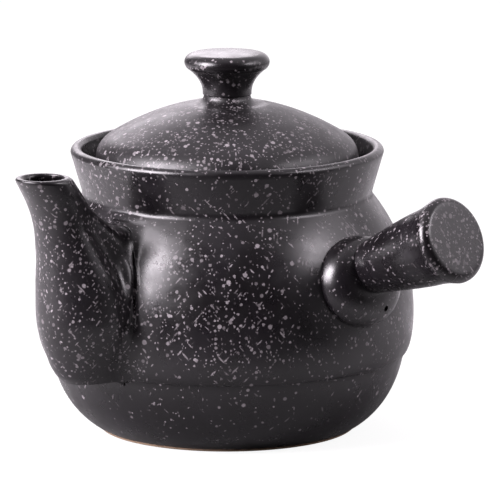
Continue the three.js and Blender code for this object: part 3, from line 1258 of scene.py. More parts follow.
@dataclass
class SpoutSizes:
    """The spout's driving sizes, and its sections from the waist to the mouth.

    The web is the clay that fills the corner between spout and belly. Between the middle two of its
    heights it is narrow and has a seam with raised lips, and beyond the outer two it is soft. The hollow
    narrows the spout along a slanting line behind its ridge, and ends a little before the belly.

    A row of the sections holds the height, 0 at the waist and 1 at the mouth; the reach, 0 at the belly's
    widest radius and 1 at the mouth's centre; and the half widths outwards, across and inwards, 0 for the
    mouth's radius and 1 for the bulb's.
    """

    mouth_overhang: float = 38.4 * MM
    mouth_radius: float = 14.8 * MM
    bulb_radius: float = 26.9 * MM
    wall: float = 4.6 * MM
    web: float = 1.8 * MM
    soft_web: float = 9 * MM
    web_heights: Marks = (62 * MM, 88 * MM, 98 * MM, 116 * MM)
    seam_width: float = 0.7 * MM
    seam_depth: float = 0.8 * MM
    seam_lip: float = 0.2 * MM
    hollow: float = 0.2
    hollow_foot: float = 92 * MM
    hollow_reach: float = 95 * MM
    hollow_slope: float = 0.65
    hollow_width: float = 9.5 * MM
    hollow_rest: float = 5 * MM
    hollow_heights: Marks = (66 * MM, 94 * MM, 122 * MM, 146 * MM)
    section_shares: tuple[tuple[float, ...], ...] = (
        (0.0, 0.02, 0.4, -0.07, 0.0),
        (0.04, 0.02, 0.8, 0.14, 0.6),
        (0.11, 0.03, 1.12, 0.4, 1.6),
        (0.2, 0.1, 1.2, 0.68, 2.6),
        (0.3, 0.18, 1.08, 0.82, 3.0),
        (0.45, 0.28, 0.76, 0.74, 2.7),
        (0.6, 0.4, 0.43, 0.46, 2.1),
        (0.66, 0.46, 0.33, 0.34, 1.9),
        (0.72, 0.52, 0.23, 0.24, 1.3),
        (0.79, 0.61, 0.13, 0.15, 0.45),
        (0.87, 0.74, 0.05, 0.08, 0.1),
        (1.0, 1.0, 0.0, 0.0, 0.0),
    )


@dataclass
class Spout:
    """The hollow spout, the pierced disc behind it and the belly's join with them.

    Each refining halves the edges that lie within a reach of the joint and are longer than a length. The
    two skins say how far a corner may lie off an outer face and still count as on it. The bar that cuts
    the strainer's way has its ends at shares of the belly's radius.
    """

    pot: PotBody
    glaze: bpy.types.Material
    sizes: SpoutSizes = field(default_factory=SpoutSizes)
    sides: int = 192
    strainer_margin: float = 5.3 * MM
    strainer_height: float = 72 * MM
    hole_radius: float = 2 * MM
    hole_pitch: float = 6.4 * MM
    hole_rings: int = 2
    gap: float = 0.3 * MM
    refinings: tuple[Point, ...] = (
        (9 * MM, 1.2 * MM),
        (3.6 * MM, 0.8 * MM),
        (2.6 * MM, 0.5 * MM),
        (2 * MM, 0.35 * MM),
    )
    spout_skin: float = 0.4 * MM
    belly_skin: float = 0.6 * MM
    outline_steps: int = 64
    bar_ends: Point = (1.2, 0.7)

    def __post_init__(self) -> None:
        """Reads the finer sections once."""
        self.rows = smooth_rows(np.array(self.sizes.section_shares), steps=12)

    @property
    def strainer_radius(self) -> float:
        """The radius of the round hole in the belly's wall."""
        return self.sizes.bulb_radius - self.sizes.wall - self.strainer_margin

    def height_at(self, share: float) -> float:
        """The height at a share of the way from the waist to the mouth."""
        return self.pot.waist_height + (self.pot.rim_height - self.pot.waist_height) * share

    def narrowing(self, points: np.ndarray) -> np.ndarray:
        """The share of the width that the slanting hollow leaves at each point.

        Args:
            points: Points in the pot's frame.

        Returns:
            The share at each point, 1 where there is no hollow.
        """
        sizes = self.sizes
        height = points[:, 2]
        lowest, _, highest, _ = sizes.hollow_heights
        middle = -sizes.hollow_reach - sizes.hollow_slope * (height - sizes.hollow_foot)
        belly_radius = self.pot.belly_radius_at(np.clip(height, lowest, highest))
        apart = np.maximum(np.hypot(points[:, 0], points[:, 1]) - belly_radius, 0)
        hollow = bell(points[:, 1] - middle, sizes.hollow_width) * (1 - bell(apart, sizes.hollow_rest))
        return 1 - sizes.hollow * hollow * window(height, sizes.hollow_heights)

    def half_widths(self, shares: np.ndarray) -> np.ndarray:
        """Half widths in metres from their shares."""
        return self.sizes.mouth_radius + (self.sizes.bulb_radius - self.sizes.mouth_radius) * shares

    def ring(self, row: np.ndarray, inset: float, height: float) -> np.ndarray:
        """One ring of the spout's skin, moved inwards by an inset.

        Args:
            row: The section.
            inset: How far inwards it is moved.
            height: The ring's height.

        Returns:
            The ring's points.
        """
        angles = angles_round(self.sides)
        front, side, tail = self.half_widths(row[2:]) - inset
        reach = self.pot.belly_radius + row[1] * self.sizes.mouth_overhang
        depth = np.where(np.cos(angles) > 0, front, tail)
        points = np.zeros((self.sides, 3))
        points[:, 1] = -reach - depth * np.cos(angles)
        points[:, 2] = height
        points[:, 0] = side * np.sin(angles) * self.narrowing(points)
        return points

    def distance(self, points: np.ndarray) -> np.ndarray:
        """About how far points lie outside the spout's outer skin; below nought inside it.

        Args:
            points: Points in the pot's frame.

        Returns:
            The distance of each point.
        """

        def level(place: np.ndarray) -> np.ndarray:
            """How many times wider than the skin a point lies, less one.

            Args:
                place: Points in the pot's frame.

            Returns:
                The number of times, less one, for each point.
            """
            share = (place[:, 2] - self.pot.waist_height) / (self.pot.rim_height - self.pot.waist_height)
            columns = [np.interp(share, self.rows[:, 0], self.rows[:, k]) for k in range(1, 5)]
            reach = self.pot.belly_radius + columns[0] * self.sizes.mouth_overhang
            front, side, tail = (self.half_widths(column) for column in columns[1:])
            outwards = -place[:, 1] - reach
            depth = np.where(outwards > 0, front, tail)
            side = side * self.narrowing(place)
            return np.hypot(place[:, 0] / side, outwards / depth) - 1

        steepness = np.linalg.norm(slope_of(level, points), axis=-1)
        return level(points) / np.maximum(steepness, 1e-6)

    def _row_at(self, share: float) -> np.ndarray:
        """The section at a height share."""
        return np.array([np.interp(share, self.rows[:, 0], self.rows[:, k]) for k in range(5)])

    def _rings(self) -> list[np.ndarray]:
        """The rings of the hollow shell: up the outside, over the round lip and down the inside.

        Returns:
            The rings, in order.
        """
        wall = self.sizes.wall
        lip = wall / 2
        top = self.pot.rim_height
        floor = self.pot.waist_height + wall
        floor_inset = wall * 1.5
        body = [row for row in self.rows if self.height_at(row[0]) < top - lip]
        rings = [self.ring(row, 0, self.height_at(row[0])) for row in body]
        for angle in np.linspace(0, math.pi, 13):
            height = top - lip + lip * math.sin(angle)
            share = (height - self.pot.waist_height) / (top - self.pot.waist_height)
            rings.append(self.ring(self._row_at(share), lip - lip * math.cos(angle), height))
        inner = [row for row in body[::-1] if self.height_at(row[0]) > floor]
        rings.extend(self.ring(row, wall, self.height_at(row[0])) for row in inner)
        rings.append(self.ring(inner[-1], floor_inset, floor))
        return rings

    def shell(self) -> bpy.types.Object:
        """The spout's hollow shell, cut to the belly and run into it.

        Returns:
            The finished piece.
        """
        piece = ring_mesh("spout_shell", self._rings())
        tidy(piece)
        cut_away(piece, self.pot.cutter("spout_seat"))
        tidy(piece)
        self._run_together(piece, self.pot.distance, self._blend_spout)
        dress(piece, self.glaze)
        return piece

    def belly(self) -> bpy.types.Object:
        """The pot's belly with the strainer's seat cut out of it, run into the spout.

        Returns:
            The finished piece.
        """
        piece = self.pot.belly()
        cut_away(piece, self._cylinder("strainer_seat", self.strainer_radius))
        tidy(piece)
        self._run_together(piece, self.distance, self._blend_belly)
        return piece

    def _run_together(
        self, piece: bpy.types.Object, near: Field, blend: Callable[[np.ndarray], np.ndarray]
    ) -> None:
        """Makes a piece's mesh fine along the joint, and moves it onto the web there.

        Args:
            piece: The spout's shell or the belly.
            near: The distance from the other one.
            blend: What moves its corners onto the web.
        """
        for reach, longest in self.refinings:
            refine(piece, near, reach, longest)
        push(piece, blend)

    def _crisp(self, points: np.ndarray) -> np.ndarray:
        """One where the spout meets the belly in a seam, nought where they run together softly."""
        return window(points[:, 2], self.sizes.web_heights)

    def _web(self, points: np.ndarray) -> np.ndarray:
        """How far the web between spout and belly reaches at each point."""
        return self.sizes.soft_web + (self.sizes.web - self.sizes.soft_web) * self._crisp(points)

    def _joint(self, points: np.ndarray) -> np.ndarray:
        """How far points lie outside spout, belly and the web between them, with its lipped seam.

        Args:
            points: Points in the pot's frame.

        Returns:
            The distance of each point.
        """
        spout, belly = self.distance(points), self.pot.distance(points)
        web, width = self._web(points), self.sizes.seam_width
        apart = np.abs(spout - belly)
        fill = web / 4 * np.clip(1 - apart / web, 0, 1) ** 2
        seam = self.sizes.seam_depth * bell(apart, width)
        lips = self.sizes.seam_lip * bell(apart - 2 * width, width)
        return np.minimum(spout, belly) - fill + (seam - lips) * self._crisp(points)

    def _blend(self, points: np.ndarray, away: np.ndarray) -> np.ndarray:
        """Moves points onto the web, less and less towards its outer edge.

        Args:
            points: The corners of a piece.
            away: How far each lies outside the other piece.

        Returns:
            The moved points.
        """
        fading = 0.4
        reach = self._web(points) + 3 * self.sizes.seam_width
        share = ease((1 - away / reach) / fading) * ease(away / MM + 1)
        close = share > 0
        moved = points.copy()
        shift = settle(self._joint, points[close]) - points[close]
        moved[close] += shift * share[close, None]
        return moved

    def _blend_spout(self, points: np.ndarray) -> np.ndarray:
        """Runs the spout's outer skin into the belly."""
        outer = np.abs(self.distance(points)) < self.spout_skin
        return self._blend(points, np.where(outer, self.pot.distance(points), 1.0))

    def _blend_belly(self, points: np.ndarray) -> np.ndarray:
        """Runs the belly's outer face into the spout."""
        outer = np.abs(self.pot.distance(points)) < self.belly_skin
        return self._blend(points, np.where(outer, self.distance(points), 1.0))

    def _circle(self, radius: float) -> tuple[np.ndarray, np.ndarray]:
        """How far points of the strainer's outline stand across and up, at a radius."""
        angles = angles_round(self.outline_steps)
        return radius * np.sin(angles), self.strainer_height + radius * np.cos(angles)

    def _cylinder(self, name: str, radius: float) -> bpy.types.Object:
        """A round bar through the belly's wall behind the spout.

        Args:
            name: The object's name.
            radius: The bar's radius.

        Returns:
            The closed bar.
        """
        x, z = self._circle(radius)
        ends = [-self.pot.belly_radius * share for share in self.bar_ends]
        return ring_mesh(name, [np.stack([x, np.full_like(x, y), z], axis=-1) for y in ends])

    def _plate(self, name: str, radius: float) -> bpy.types.Object:
        """A round plate that follows the belly's wall.

        Args:
            name: The object's name.
            radius: The plate's radius.

        Returns:
            The plate, without holes.
        """
        middle = 0.06
        shares = np.linspace(middle, 1, 16)
        rings = []
        for inset, order in ((0.0, shares), (self.pot.wall, shares[::-1])):
            for share in order:
                x, z = self._circle(radius * share)
                around = self.pot.belly_radius_at(z) - inset
                rings.append(np.stack([x, -np.sqrt(around**2 - x**2), z], axis=-1))
        piece = ring_mesh(name, rings)
        tidy(piece)
        return piece

    def strainer(self) -> bpy.types.Object:
        """The disc of the belly's wall with its rings of holes.

        Returns:
            The finished piece.
        """
        piece = self._plate("spout_sieve", self.strainer_radius - self.gap)
        values = {
            "Hole Count": 1 + 3 * self.hole_rings * (self.hole_rings + 1),
            "Pitch": self.hole_pitch,
            "Hole Radius": self.hole_radius,
            "Depth": self.pot.belly_radius / 2,
            "Centre": (0.0, -self.pot.belly_radius, self.strainer_height),
        }
        PiercingTree().shape(piece, self.glaze, values)
        tidy(piece)
        return piece


# The handle.


@dataclass
class Handle:
    """The hollow dome on the belly, the flared grip that grows out of it and the disc that closes it."""

    pot: PotBody
    wheel: TurningTree
    glaze: bpy.types.Material
    end_glaze: bpy.types.Material
    boss_height: float = 91.2 * MM
    boss_half_width: float = 27.2 * MM
    boss_half_height: float = 24.4 * MM
    boss_rise: float = 12 * MM
    boss_shift: float = 5 * MM
    boss_root: float = 14 * MM
    boss_wall: float = 4.5 * MM
    tilt: float = math.radians(21.4)
    grip_length: float = 60.4 * MM
    grip_radius: float = 14.25 * MM
    grip_wall: float = 4.5 * MM
    grip_radii: tuple[Point, ...] = (
        (0.0, 14.25 * MM),
        (0.2, 16.2 * MM),
        (0.42, 18.3 * MM),
        (0.6, 19.7 * MM),
        (0.75, 20.5 * MM),
        (0.84, 21.5 * MM),
        (0.92, 22.6 * MM),
        (1.0, 22.8 * MM),
    )
    end_radius: float = 22.8 * MM
    end_thickness: float = 5 * MM
    end_round: float = 4.7 * MM
    dome_turn: float = math.radians(75)
    dome_fullness: float = 1.35
    dome_rings: int = 29
    vent_radius: float = 1.6 * MM
    vent_turn_share: float = 0.7
    vent_swing: float = math.radians(10)
    groove: float = 0.9 * MM
    sink: float = 2 * MM
    gap: float = 0.3 * MM
    sides: int = 128

    def __post_init__(self) -> None:
        """Works out the handle's own directions."""
        self.axis = Vector((math.cos(self.tilt), 0, math.sin(self.tilt)))
        self.up = Vector((-math.sin(self.tilt), 0, math.cos(self.tilt)))
        self.root = Vector((self.pot.belly_radius_at(self.boss_height), 0, self.boss_height))
        self.start = self.root + self.axis * self.boss_rise + self.up * self.boss_shift

    @property
    def place(self) -> Matrix:
        """The matrix that stands a piece turned about +Z on the boss, along the handle."""
        start = self.start + self.axis * self.gap
        return Matrix.Translation(start) @ Matrix.Rotation(math.pi / 2 - self.tilt, 4, "Y")

    def ring(self, half_width: float, half_height: float, distance: float, shift: float) -> np.ndarray:
        """An oval ring about the handle's line, at a distance along it and a shift across it.

        Args:
            half_width: Half its width.
            half_height: Half its height.
            distance: How far along the handle's line it lies.
            shift: How far above the line its middle is.

        Returns:
            The ring's points.
        """
        centre = np.array(self.root + self.axis * distance + self.up * shift)
        angles = angles_round(self.sides)
        across = np.outer(half_height * np.cos(angles), np.array(self.up))
        aside = np.outer(-half_width * np.sin(angles), (0.0, 1.0, 0.0))
        return centre + across + aside

    def section(self, turn: float, top: float) -> tuple[float, float, float, float]:
        """The boss's outline, round and full, at a turn from its foot, 0, to its top, 1.

        Args:
            turn: The share of the way round.
            top: How far along the handle's line the top lies.

        Returns:
            The distance along the line, the half width, the half height and the shift upwards.
        """
        angle = self.dome_turn * turn
        drop = ((1 - math.cos(angle)) / (1 - math.cos(self.dome_turn))) ** self.dome_fullness
        climb = math.sin(angle) / math.sin(self.dome_turn)
        return (
            -self.boss_root / 2 + (top + self.boss_root / 2) * climb,
            self.boss_half_width + (self.grip_radius - self.boss_half_width) * drop,
            self.boss_half_height + (self.grip_radius - self.boss_half_height) * drop,
            self.boss_shift * drop,
        )

    def dome(self, name: str, inset: float, top: float) -> bpy.types.Object:
        """The boss's domed form, moved inwards by an inset.

        Args:
            name: The object's name.
            inset: How far inwards it is moved.
            top: How far along the handle's line the top lies.

        Returns:
            The closed form.
        """
        wide, high = self.boss_half_width - inset, self.boss_half_height - inset
        rings = [self.ring(wide, high, -self.boss_root, 0)]
        for turn in np.linspace(0, 1, self.dome_rings):
            distance, half_width, half_height, shift = self.section(turn, top)
            rings.append(self.ring(half_width - inset, half_height - inset, distance, shift))
        return ring_mesh(name, rings)

    def bore(self) -> bpy.types.Object:
        """The round way from the boss's hollow into the grip.

        Returns:
            The closed bar to cut it with.
        """
        radius = self.grip_radius - self.grip_wall
        reaches = (0.0, 3 * self.boss_rise)
        ends = [self.ring(radius, radius, reach, self.boss_shift) for reach in reaches]
        return ring_mesh("boss_bore", ends)

    def vent(self) -> bpy.types.Object:
        """The small hole through the underside of the boss.

        Returns:
            The closed bar to cut it with.
        """
        distance, half_width, half_height, shift = self.section(self.vent_turn_share, self.boss_rise)
        lowered = shift - half_height * math.cos(self.vent_swing)
        place = self.root + self.axis * distance + self.up * lowered
        place.y = half_width * math.sin(self.vent_swing)
        outward = (self.axis - self.up).normalized()
        aside = outward.orthogonal().normalized()
        third = outward.cross(aside)
        angles = angles_round(24)
        circle = np.outer(np.cos(angles), aside) + np.outer(np.sin(angles), third)
        middles = [np.array(place + outward * reach) for reach in (-2 * self.boss_wall, 2 * self.boss_wall)]
        return ring_mesh("boss_vent", [middle + self.vent_radius * circle for middle in middles])

    def boss(self) -> bpy.types.Object:
        """The hollow dome with its vent, cut to the belly, with a fine groove where it meets it.

        Returns:
            The finished piece.
        """
        piece = self.dome("handle_dome", 0.0, self.boss_rise)
        tidy(piece)
        hollow = self.dome("boss_hollow", self.boss_wall, self.boss_rise - self.boss_wall)
        cut_away(piece, hollow, self.bore(), self.vent(), self.pot.cutter("boss_seat"))
        tidy(piece)
        push(piece, self._tuck_in)
        dress(piece, self.glaze)
        return piece

    def _tuck_in(self, points: np.ndarray) -> np.ndarray:
        """Draws the dome's foot in a little where it meets the belly.

        Args:
            points: The corners of the dome.

        Returns:
            The moved corners.
        """
        near = np.clip(1 - self.pot.distance(points) / (2 * self.groove), 0, 1) ** 2
        line = points - np.array(self.root)
        along = line @ np.array(self.axis)
        across = line - np.outer(along, np.array(self.axis))
        width = np.linalg.norm(across, axis=1, keepdims=True)
        outer = width[:, 0] > (self.boss_half_height - self.boss_wall / 2)
        inward = -across / np.maximum(width, MM)
        return points + inward * np.where(outer, self.groove * near, 0.0)[:, None]

    def radius_at(self, share: float) -> float:
        """The grip's outer radius at a share of its length."""
        rows = smooth_rows(np.array(self.grip_radii), steps=8)
        return float(np.interp(share, rows[:, 0], rows[:, 1]))

    def grip(self) -> bpy.types.Object:
        """The hollow flared grip.

        Returns:
            The finished piece.
        """
        body_length = self.grip_length - self.end_thickness
        heights = [-self.sink, *np.linspace(0, body_length, 50)]
        outside = [(self.radius_at(max(height, 0) / self.grip_length), height) for height in heights]
        inside = [(radius - self.grip_wall, height) for radius, height in outside[::-1]]
        return self.wheel.turn(
            "handle_grip_shell",
            [*outside, *inside],
            self.glaze,
            self.sides,
            self.place,
            ring=True,
            unevenness=0.0,
        )

    def end_disc(self) -> bpy.types.Object:
        """The disc that closes the grip, with a full round edge.

        Returns:
            The finished piece.
        """
        start = self.grip_length - self.end_thickness
        start_radius = self.radius_at(start / self.grip_length)
        soft = self.end_round
        edge_centre = (self.end_radius - soft, self.grip_length - soft)
        edge = ellipse_arc(edge_centre, soft, soft, 0, math.pi / 2, steps=14)
        outline = [(0.0, start), (start_radius, start), *edge, (0.0, self.grip_length)]
        return self.wheel.turn(
            "handle_end_disc",
            divided(outline, self.pot.spacing),
            self.end_glaze,
            self.sides,
            self.place,
            unevenness=0.0,
        )


# The lid.


@dataclass
class Lid:
    """The domed cover, the ring under it and the knob on its neck."""

    pot: PotBody
    wheel: TurningTree
    glaze: bpy.types.Material
    knob_glaze: bpy.types.Material
    clay: bpy.types.Material
    edge_round: float = 1.3 * MM
    edge_rise: float = 7 * MM
    edge_width: float = 8 * MM
    crest_rise: float = 39.3 * MM
    crest_sag: float = 23.9 * MM
    shoulder_rise: float = 3.7 * MM
    inner_rise: float = 27.4 * MM
    side_gap: float = 4 * MM
    neck_radius: float = 12.5 * MM
    neck_foot_radius: float = 22 * MM
    neck_rise: float = 4.9 * MM
    flange_wall: float = 4 * MM
    flange_round: float = 1.6 * MM
    flange_depth: float = 10 * MM
    flange_clearance: float = 1.3 * MM
    knob_stem_radius: float = 13.1 * MM
    knob_radius: float = 22.8 * MM
    knob_stem_height: float = 2.4 * MM
    knob_flare_height: float = 13 * MM
    knob_flare_tightness: float = 2.4
    knob_crown: float = 7.9 * MM
    knob_rim_width: float = 5.6 * MM
    knob_rim_height: float = 4.8 * MM
    knob_rim_rise: float = 2.2 * MM
    knob_roll: Point = (math.radians(-58), math.radians(80))
    knob_bore: float = 6 * MM
    knob_bore_depth: float = 15 * MM
    gap: float = 0.3 * MM

    def __post_init__(self) -> None:
        """Works out what follows from the pot's collar."""
        self.radius = self.pot.collar_inner_radius(self.pot.ledge_height) - self.side_gap
        self.seat = self.pot.ledge_height + self.gap
        self.flange_radius = self.pot.ledge_inner_radius - self.flange_clearance
        self.inner_radius = self.flange_radius - self.flange_wall
        self.neck_top = self.dome_height(self.neck_foot_radius) + self.neck_rise

    def dome_height(self, radius: float) -> float:
        """The height of the dome's outer face at a radius."""
        return self.seat + self.crest_rise - self.crest_sag * (radius / self.radius) ** 2

    def cover(self) -> bpy.types.Object:
        """The dome with its short concave neck, open to the hollow of the knob.

        Returns:
            The finished piece.
        """
        soft = self.edge_round
        foot = ellipse_arc((self.radius - soft, self.seat + soft), soft, soft, -math.pi / 2, 0, steps=5)
        turn_radius = self.radius - self.edge_width
        slope = 2 * self.crest_sag * turn_radius / self.radius**2
        corner = (self.radius, self.dome_height(turn_radius) - slope * self.edge_width)
        edge_top = (turn_radius, self.dome_height(turn_radius))
        edge = bezier((self.radius, self.seat + self.edge_rise), corner, edge_top, steps=18)
        radii = np.linspace(turn_radius, self.neck_foot_radius, 40)[1:]
        dome = [*edge, *((radius, self.dome_height(radius)) for radius in radii)]
        cove = bezier(
            dome[-1],
            (self.neck_radius, self.dome_height(self.neck_foot_radius)),
            (self.neck_radius, self.neck_top),
            steps=10,
        )
        bore_angle = math.acos(self.knob_bore / self.inner_radius)
        centre = (0, self.seat + self.shoulder_rise)
        underside = ellipse_arc(centre, self.inner_radius, self.inner_rise, bore_angle, 0, steps=40)
        section = [
            *foot,
            *dome,
            *cove[1:],
            (self.knob_bore, self.neck_top),
            *underside,
            (self.inner_radius, self.seat),
        ]
        section = divided_ring(section, self.pot.spacing)
        return self.wheel.turn("lid_cover", section, self.glaze, ring=True)

    def flange(self) -> bpy.types.Object:
        """The unglazed ring that keeps the lid in the mouth.

        Returns:
            The finished piece.
        """
        lowest = self.seat - self.flange_depth
        edge = self.flange_round
        inner, outer = self.inner_radius, self.flange_radius
        section = [
            *ellipse_arc((inner + edge, lowest + edge), edge, edge, math.pi, 1.5 * math.pi, steps=5),
            *ellipse_arc((outer - edge, lowest + edge), edge, edge, -math.pi / 2, 0, steps=5),
            (outer, self.seat),
            (inner, self.seat),
        ]
        return self.wheel.turn("lid_ring", divided_ring(section, self.pot.spacing), self.clay, ring=True)

    def knob(self) -> bpy.types.Object:
        """The mushroom knob with its rolled edge.

        Returns:
            The finished piece.
        """
        stem_top = self.neck_top + self.knob_stem_height
        flare_top = stem_top + self.knob_flare_height
        step = self.knob_stem_radius - self.neck_radius
        foot_centre = (self.neck_radius, self.neck_top + step)
        foot = ellipse_arc(foot_centre, step, step, -math.pi / 2, 0, steps=6)
        across, rise = self.knob_rim_width, self.knob_rim_height
        rim_centre = (self.knob_radius - across, flare_top + self.knob_rim_rise)
        roll = ellipse_arc(rim_centre, across, rise, *self.knob_roll, steps=24)
        flare = bezier(
            (self.knob_stem_radius, stem_top - self.knob_stem_height / 2),
            (self.knob_stem_radius, stem_top + self.knob_flare_height / self.knob_flare_tightness),
            roll[0],
            steps=18,
        )
        top = (0.0, flare_top + self.knob_crown)
        crown = bezier(roll[-1], (self.knob_radius / 2, top[1]), top, steps=24)
        bore_top = self.neck_top + self.knob_bore_depth
        outline = [
            (0.0, bore_top),
            (self.knob_bore, bore_top - self.knob_bore / 2),
            (self.knob_bore, self.neck_top),
            *foot,
            *flare,
            *roll[1:],
            *crown[1:],
        ]
        return self.wheel.turn("lid_button", divided(outline, self.pot.spacing), self.knob_glaze, sides=160)


# The studio.


class Ramp(NamedTuple):
    """A smooth step between two readings, and the values that it gives below and above them."""

    low: float
    high: float
    below: float
    above: float


@dataclass(frozen=True)
class Softbox:
    """A soft rectangular lamp that looks at the pot.

    It is seen from the pot at two angles in degrees: a swing to the right of the camera, and a lift above
    the level.
    """

    name: str
    swing: float
    lift: float
    distance: float
    width: float
    height: float
    radiance: float


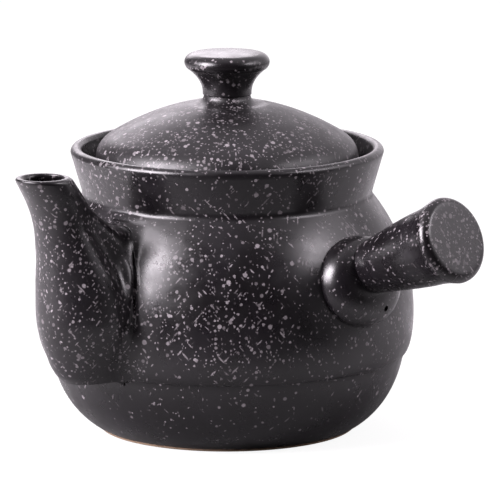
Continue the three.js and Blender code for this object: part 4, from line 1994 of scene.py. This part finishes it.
@dataclass
class Studio:
    """The floor, the lamps, the surroundings and the camera at the photograph's angle.

    The room's three ramps read how far a direction faces the camera or the left back corner. The floor's
    two paint shade into the colour that the glaze reflects: darker towards the front, and a painted shadow
    near the pot's middle. They read how far a place lies towards the front and how far from the pot's
    middle, in metres. The two ways are level directions, by their parts to the right and to the back.
    """

    azimuth: float = math.radians(43)
    elevation: float = math.radians(10.7)
    camera_distance: float = 2688 * MM
    aim_right: float = 12.26 * MM
    aim_height: float = 95.4 * MM
    lens_mm: float = 360.0
    sensor_mm: float = 36.0
    tint: Colour = (1.0, 0.93, 1.0, 1.0)
    softboxes: tuple[Softbox, ...] = (
        Softbox("key_softbox", -61, 28, 1.3, 0.66, 0.7, 29.0),
        Softbox("key_spill", -78, 21, 1.35, 0.8, 0.6, 5.5),
        Softbox("fill_softbox", 69, 34, 1.4, 0.5, 0.3, 12.0),
        Softbox("side_softbox", 94, 31, 1.4, 0.7, 0.7, 1.7),
        Softbox("back_softbox", -165, 26, 1.4, 0.8, 0.5, 3.4),
    )
    room_light: Ramp = Ramp(0.05, 0.85, 0.88, 0.01)
    room_behind: Ramp = Ramp(-1.0, -0.7, 0.6, 0.0)
    room_corner: Ramp = Ramp(0.6, 0.93, 1.0, 0.18)
    corner_way: Point = (-0.8, 0.6)
    floor_half: float = 6.0
    floor_way: Point = (0.2, -0.98)
    # Painted shade: the floor that the glaze reflects is darker towards the camera's side.
    floor_front_painted_shade: Ramp = Ramp(-0.03, 0.4, 0.62, 0.04)
    # Painted shadow round the pot, in the floor's colour that the glaze reflects.
    floor_painted_shadow: Ramp = Ramp(0.08, 0.2, 0.4, 1.0)
    floor_seen: Colour = (0.13, 0.13, 0.13, 1.0)
    floor_glow: float = 0.9
    floor_roughness: float = 0.9
    floor_shine: float = 0.1
    mottle_scale: float = 30.0
    mottle: Point = (0.98, 1.02)
    farthest: float = 20.0

    def __post_init__(self) -> None:
        """Works out the camera's own directions."""
        self.right = Vector((math.cos(self.azimuth), math.sin(self.azimuth), 0))
        self.back = Vector((-math.sin(self.azimuth), math.cos(self.azimuth), 0))
        self.up = Vector((0, 0, 1))

    @property
    def aim(self) -> Vector:
        """The point that the middle of the picture shows."""
        return self.right * self.aim_right + self.up * self.aim_height

    def level(self, way: Point) -> Vector:
        """A level direction, by its parts to the right and to the back."""
        across, back = way
        return (self.right * across + self.back * back).normalized()

    def camera(self) -> None:
        """A long lens from slightly above, as in the photograph."""
        data = bpy.data.cameras.new("camera")
        data.lens = self.lens_mm
        data.sensor_width = self.sensor_mm
        data.clip_end = self.farthest
        camera = bpy.data.objects.new("camera", data)
        bpy.context.scene.collection.objects.link(camera)
        towards = self.back * math.cos(self.elevation) - self.up * math.sin(self.elevation)
        camera.location = self.aim - towards * self.camera_distance
        camera.rotation_euler = towards.to_track_quat("-Z", "Y").to_euler()
        bpy.context.scene.camera = camera

    def lamps(self) -> None:
        """The softboxes, which light the pot and show in its glaze but not in the picture."""
        for box in self.softboxes:
            data = bpy.data.lights.new(box.name, "AREA")
            data.shape = "RECTANGLE"
            data.size = box.width
            data.size_y = box.height
            data.energy = box.radiance * math.pi * box.width * box.height
            data.color = self.tint[:3]
            lamp = bpy.data.objects.new(box.name, data)
            bpy.context.scene.collection.objects.link(lamp)
            swing, lift = math.radians(box.swing), math.radians(box.lift)
            level = self.right * math.sin(swing) - self.back * math.cos(swing)
            towards = level * math.cos(lift) + self.up * math.sin(lift)
            lamp.location = self.aim + towards * box.distance
            lamp.rotation_euler = (-towards).to_track_quat("-Z", "Y").to_euler()
            lamp.visible_camera = False

    def surroundings(self) -> None:
        """A white room that is dark on the camera's side, and plain white to the camera itself."""
        world = bpy.data.worlds.new("studio")
        bpy.context.scene.world = world
        world.use_nodes = True
        sketch = NodeSketch(world.node_tree)
        paint = world.node_tree.nodes["Background"]
        look = sketch.add("ShaderNodeTexCoord").outputs["Generated"]
        facing = sketch.vector("DOT_PRODUCT", look, tuple(-self.back))
        behind = sketch.span(facing, *self.room_behind)
        towards_corner = sketch.vector("DOT_PRODUCT", look, tuple(self.level(self.corner_way)))
        shaded = sketch.span(towards_corner, *self.room_corner)
        level = sketch.math("MULTIPLY", sketch.span(facing, *self.room_light), shaded)
        level = sketch.math("ADD", level, behind)
        seen = sketch.add("ShaderNodeLightPath").outputs["Is Camera Ray"]
        strength = sketch.math("MAXIMUM", level, seen)
        sketch.feed(paint.inputs["Color"], sketch.blend(seen, self.tint, WHITE))
        sketch.feed(paint.inputs["Strength"], strength)

    def floor(self) -> None:
        """A wide pale floor that stays near white to the camera and keeps the pot's shadow; the colour that
        the glaze reflects has painted shade towards the front and a painted shadow round the pot.
        """
        half = self.floor_half
        mesh = bpy.data.meshes.new("floor")
        corners = [(-half, -half, 0), (half, -half, 0), (half, half, 0), (-half, half, 0)]
        mesh.from_pydata(corners, [], [(0, 1, 2, 3)])
        floor = new_object("floor", mesh)
        material = bpy.data.materials.new("studio_floor")
        material.use_nodes = True
        sketch = NodeSketch(material.node_tree)
        shader = material.node_tree.nodes["Principled BSDF"]
        place = sketch.add("ShaderNodeTexCoord").outputs["Object"]
        mottle = sketch.noise(place, self.mottle_scale)
        nearer = sketch.vector("DOT_PRODUCT", place, tuple(self.level(self.floor_way)))
        seen = sketch.add("ShaderNodeLightPath").outputs["Is Camera Ray"]
        # Painted shadow: the floor as the glaze sees it is darker round the pot's middle.
        shade = sketch.span(sketch.vector("LENGTH", place), *self.floor_painted_shadow)
        # Painted shade towards the front, times the painted shadow, for the colour that the glaze reflects.
        painted_shade_colour = sketch.math("MULTIPLY", sketch.span(nearer, *self.floor_front_painted_shade), shade)
        depth = sketch.blend(seen, painted_shade_colour, self.floor_seen)
        pale = sketch.vector("SCALE", depth, scale=sketch.span(mottle["Fac"], 0, 1, *self.mottle))
        sketch.feed(shader.inputs["Base Color"], pale)
        shader.inputs["Roughness"].default_value = self.floor_roughness
        shader.inputs["Specular IOR Level"].default_value = self.floor_shine
        shader.inputs["Emission Color"].default_value = WHITE
        sketch.feed(shader.inputs["Emission Strength"], sketch.math("MULTIPLY", seen, self.floor_glow))
        mesh.materials.append(material)

    def build(self) -> None:
        """Makes everything in the studio."""
        self.camera()
        self.lamps()
        self.surroundings()
        self.floor()
        bpy.context.scene.view_settings.view_transform = "Standard"


def main() -> None:
    """Builds the studio and the teapot, piece by piece."""
    logging.basicConfig(level=logging.INFO, format="%(name)s: %(message)s")
    Studio().build()
    thinning = (30 * MM, 62 * MM)
    pot_glaze = SpeckledGlaze("pot_glaze", thins_below=thinning, bare_below=1.4 * MM).make()
    lid_glaze = SpeckledGlaze("lid_glaze", density=1.55, roughness=0.4).make()
    knob_glaze = SpeckledGlaze("knob_glaze", density=0.5, roughness=0.28).make()
    handle_glaze = SpeckledGlaze("handle_glaze", density=0.62, roughness=0.27).make()
    end_glaze = SpeckledGlaze("handle_end_glaze", density=1.9, roughness=0.27).make()
    clay = BareClay().make()
    wheel = TurningTree()

    pot = PotBody(wheel, pot_glaze)
    spout = Spout(pot, pot_glaze)
    hand_over(pot.bowl(), Body.POT, "lower_bowl")
    hand_over(spout.belly(), Body.POT, "belly_shell")
    hand_over(pot.collar(), Body.POT, "collar")
    hand_over(spout.shell(), Body.POT, "spout")
    hand_over(spout.strainer(), Body.POT, "spout_strainer")

    handle = Handle(pot, wheel, handle_glaze, end_glaze)
    hand_over(handle.boss(), Body.POT, "handle_boss")
    hand_over(handle.grip(), Body.POT, "handle_grip")
    hand_over(handle.end_disc(), Body.POT, "handle_end_cap")

    lid = Lid(pot, wheel, lid_glaze, knob_glaze, clay)
    hand_over(lid.cover(), Body.LID, "lid_dome")
    hand_over(lid.flange(), Body.LID, "lid_flange")
    hand_over(lid.knob(), Body.LID, "lid_knob")


if __name__ == "__main__":
    main()
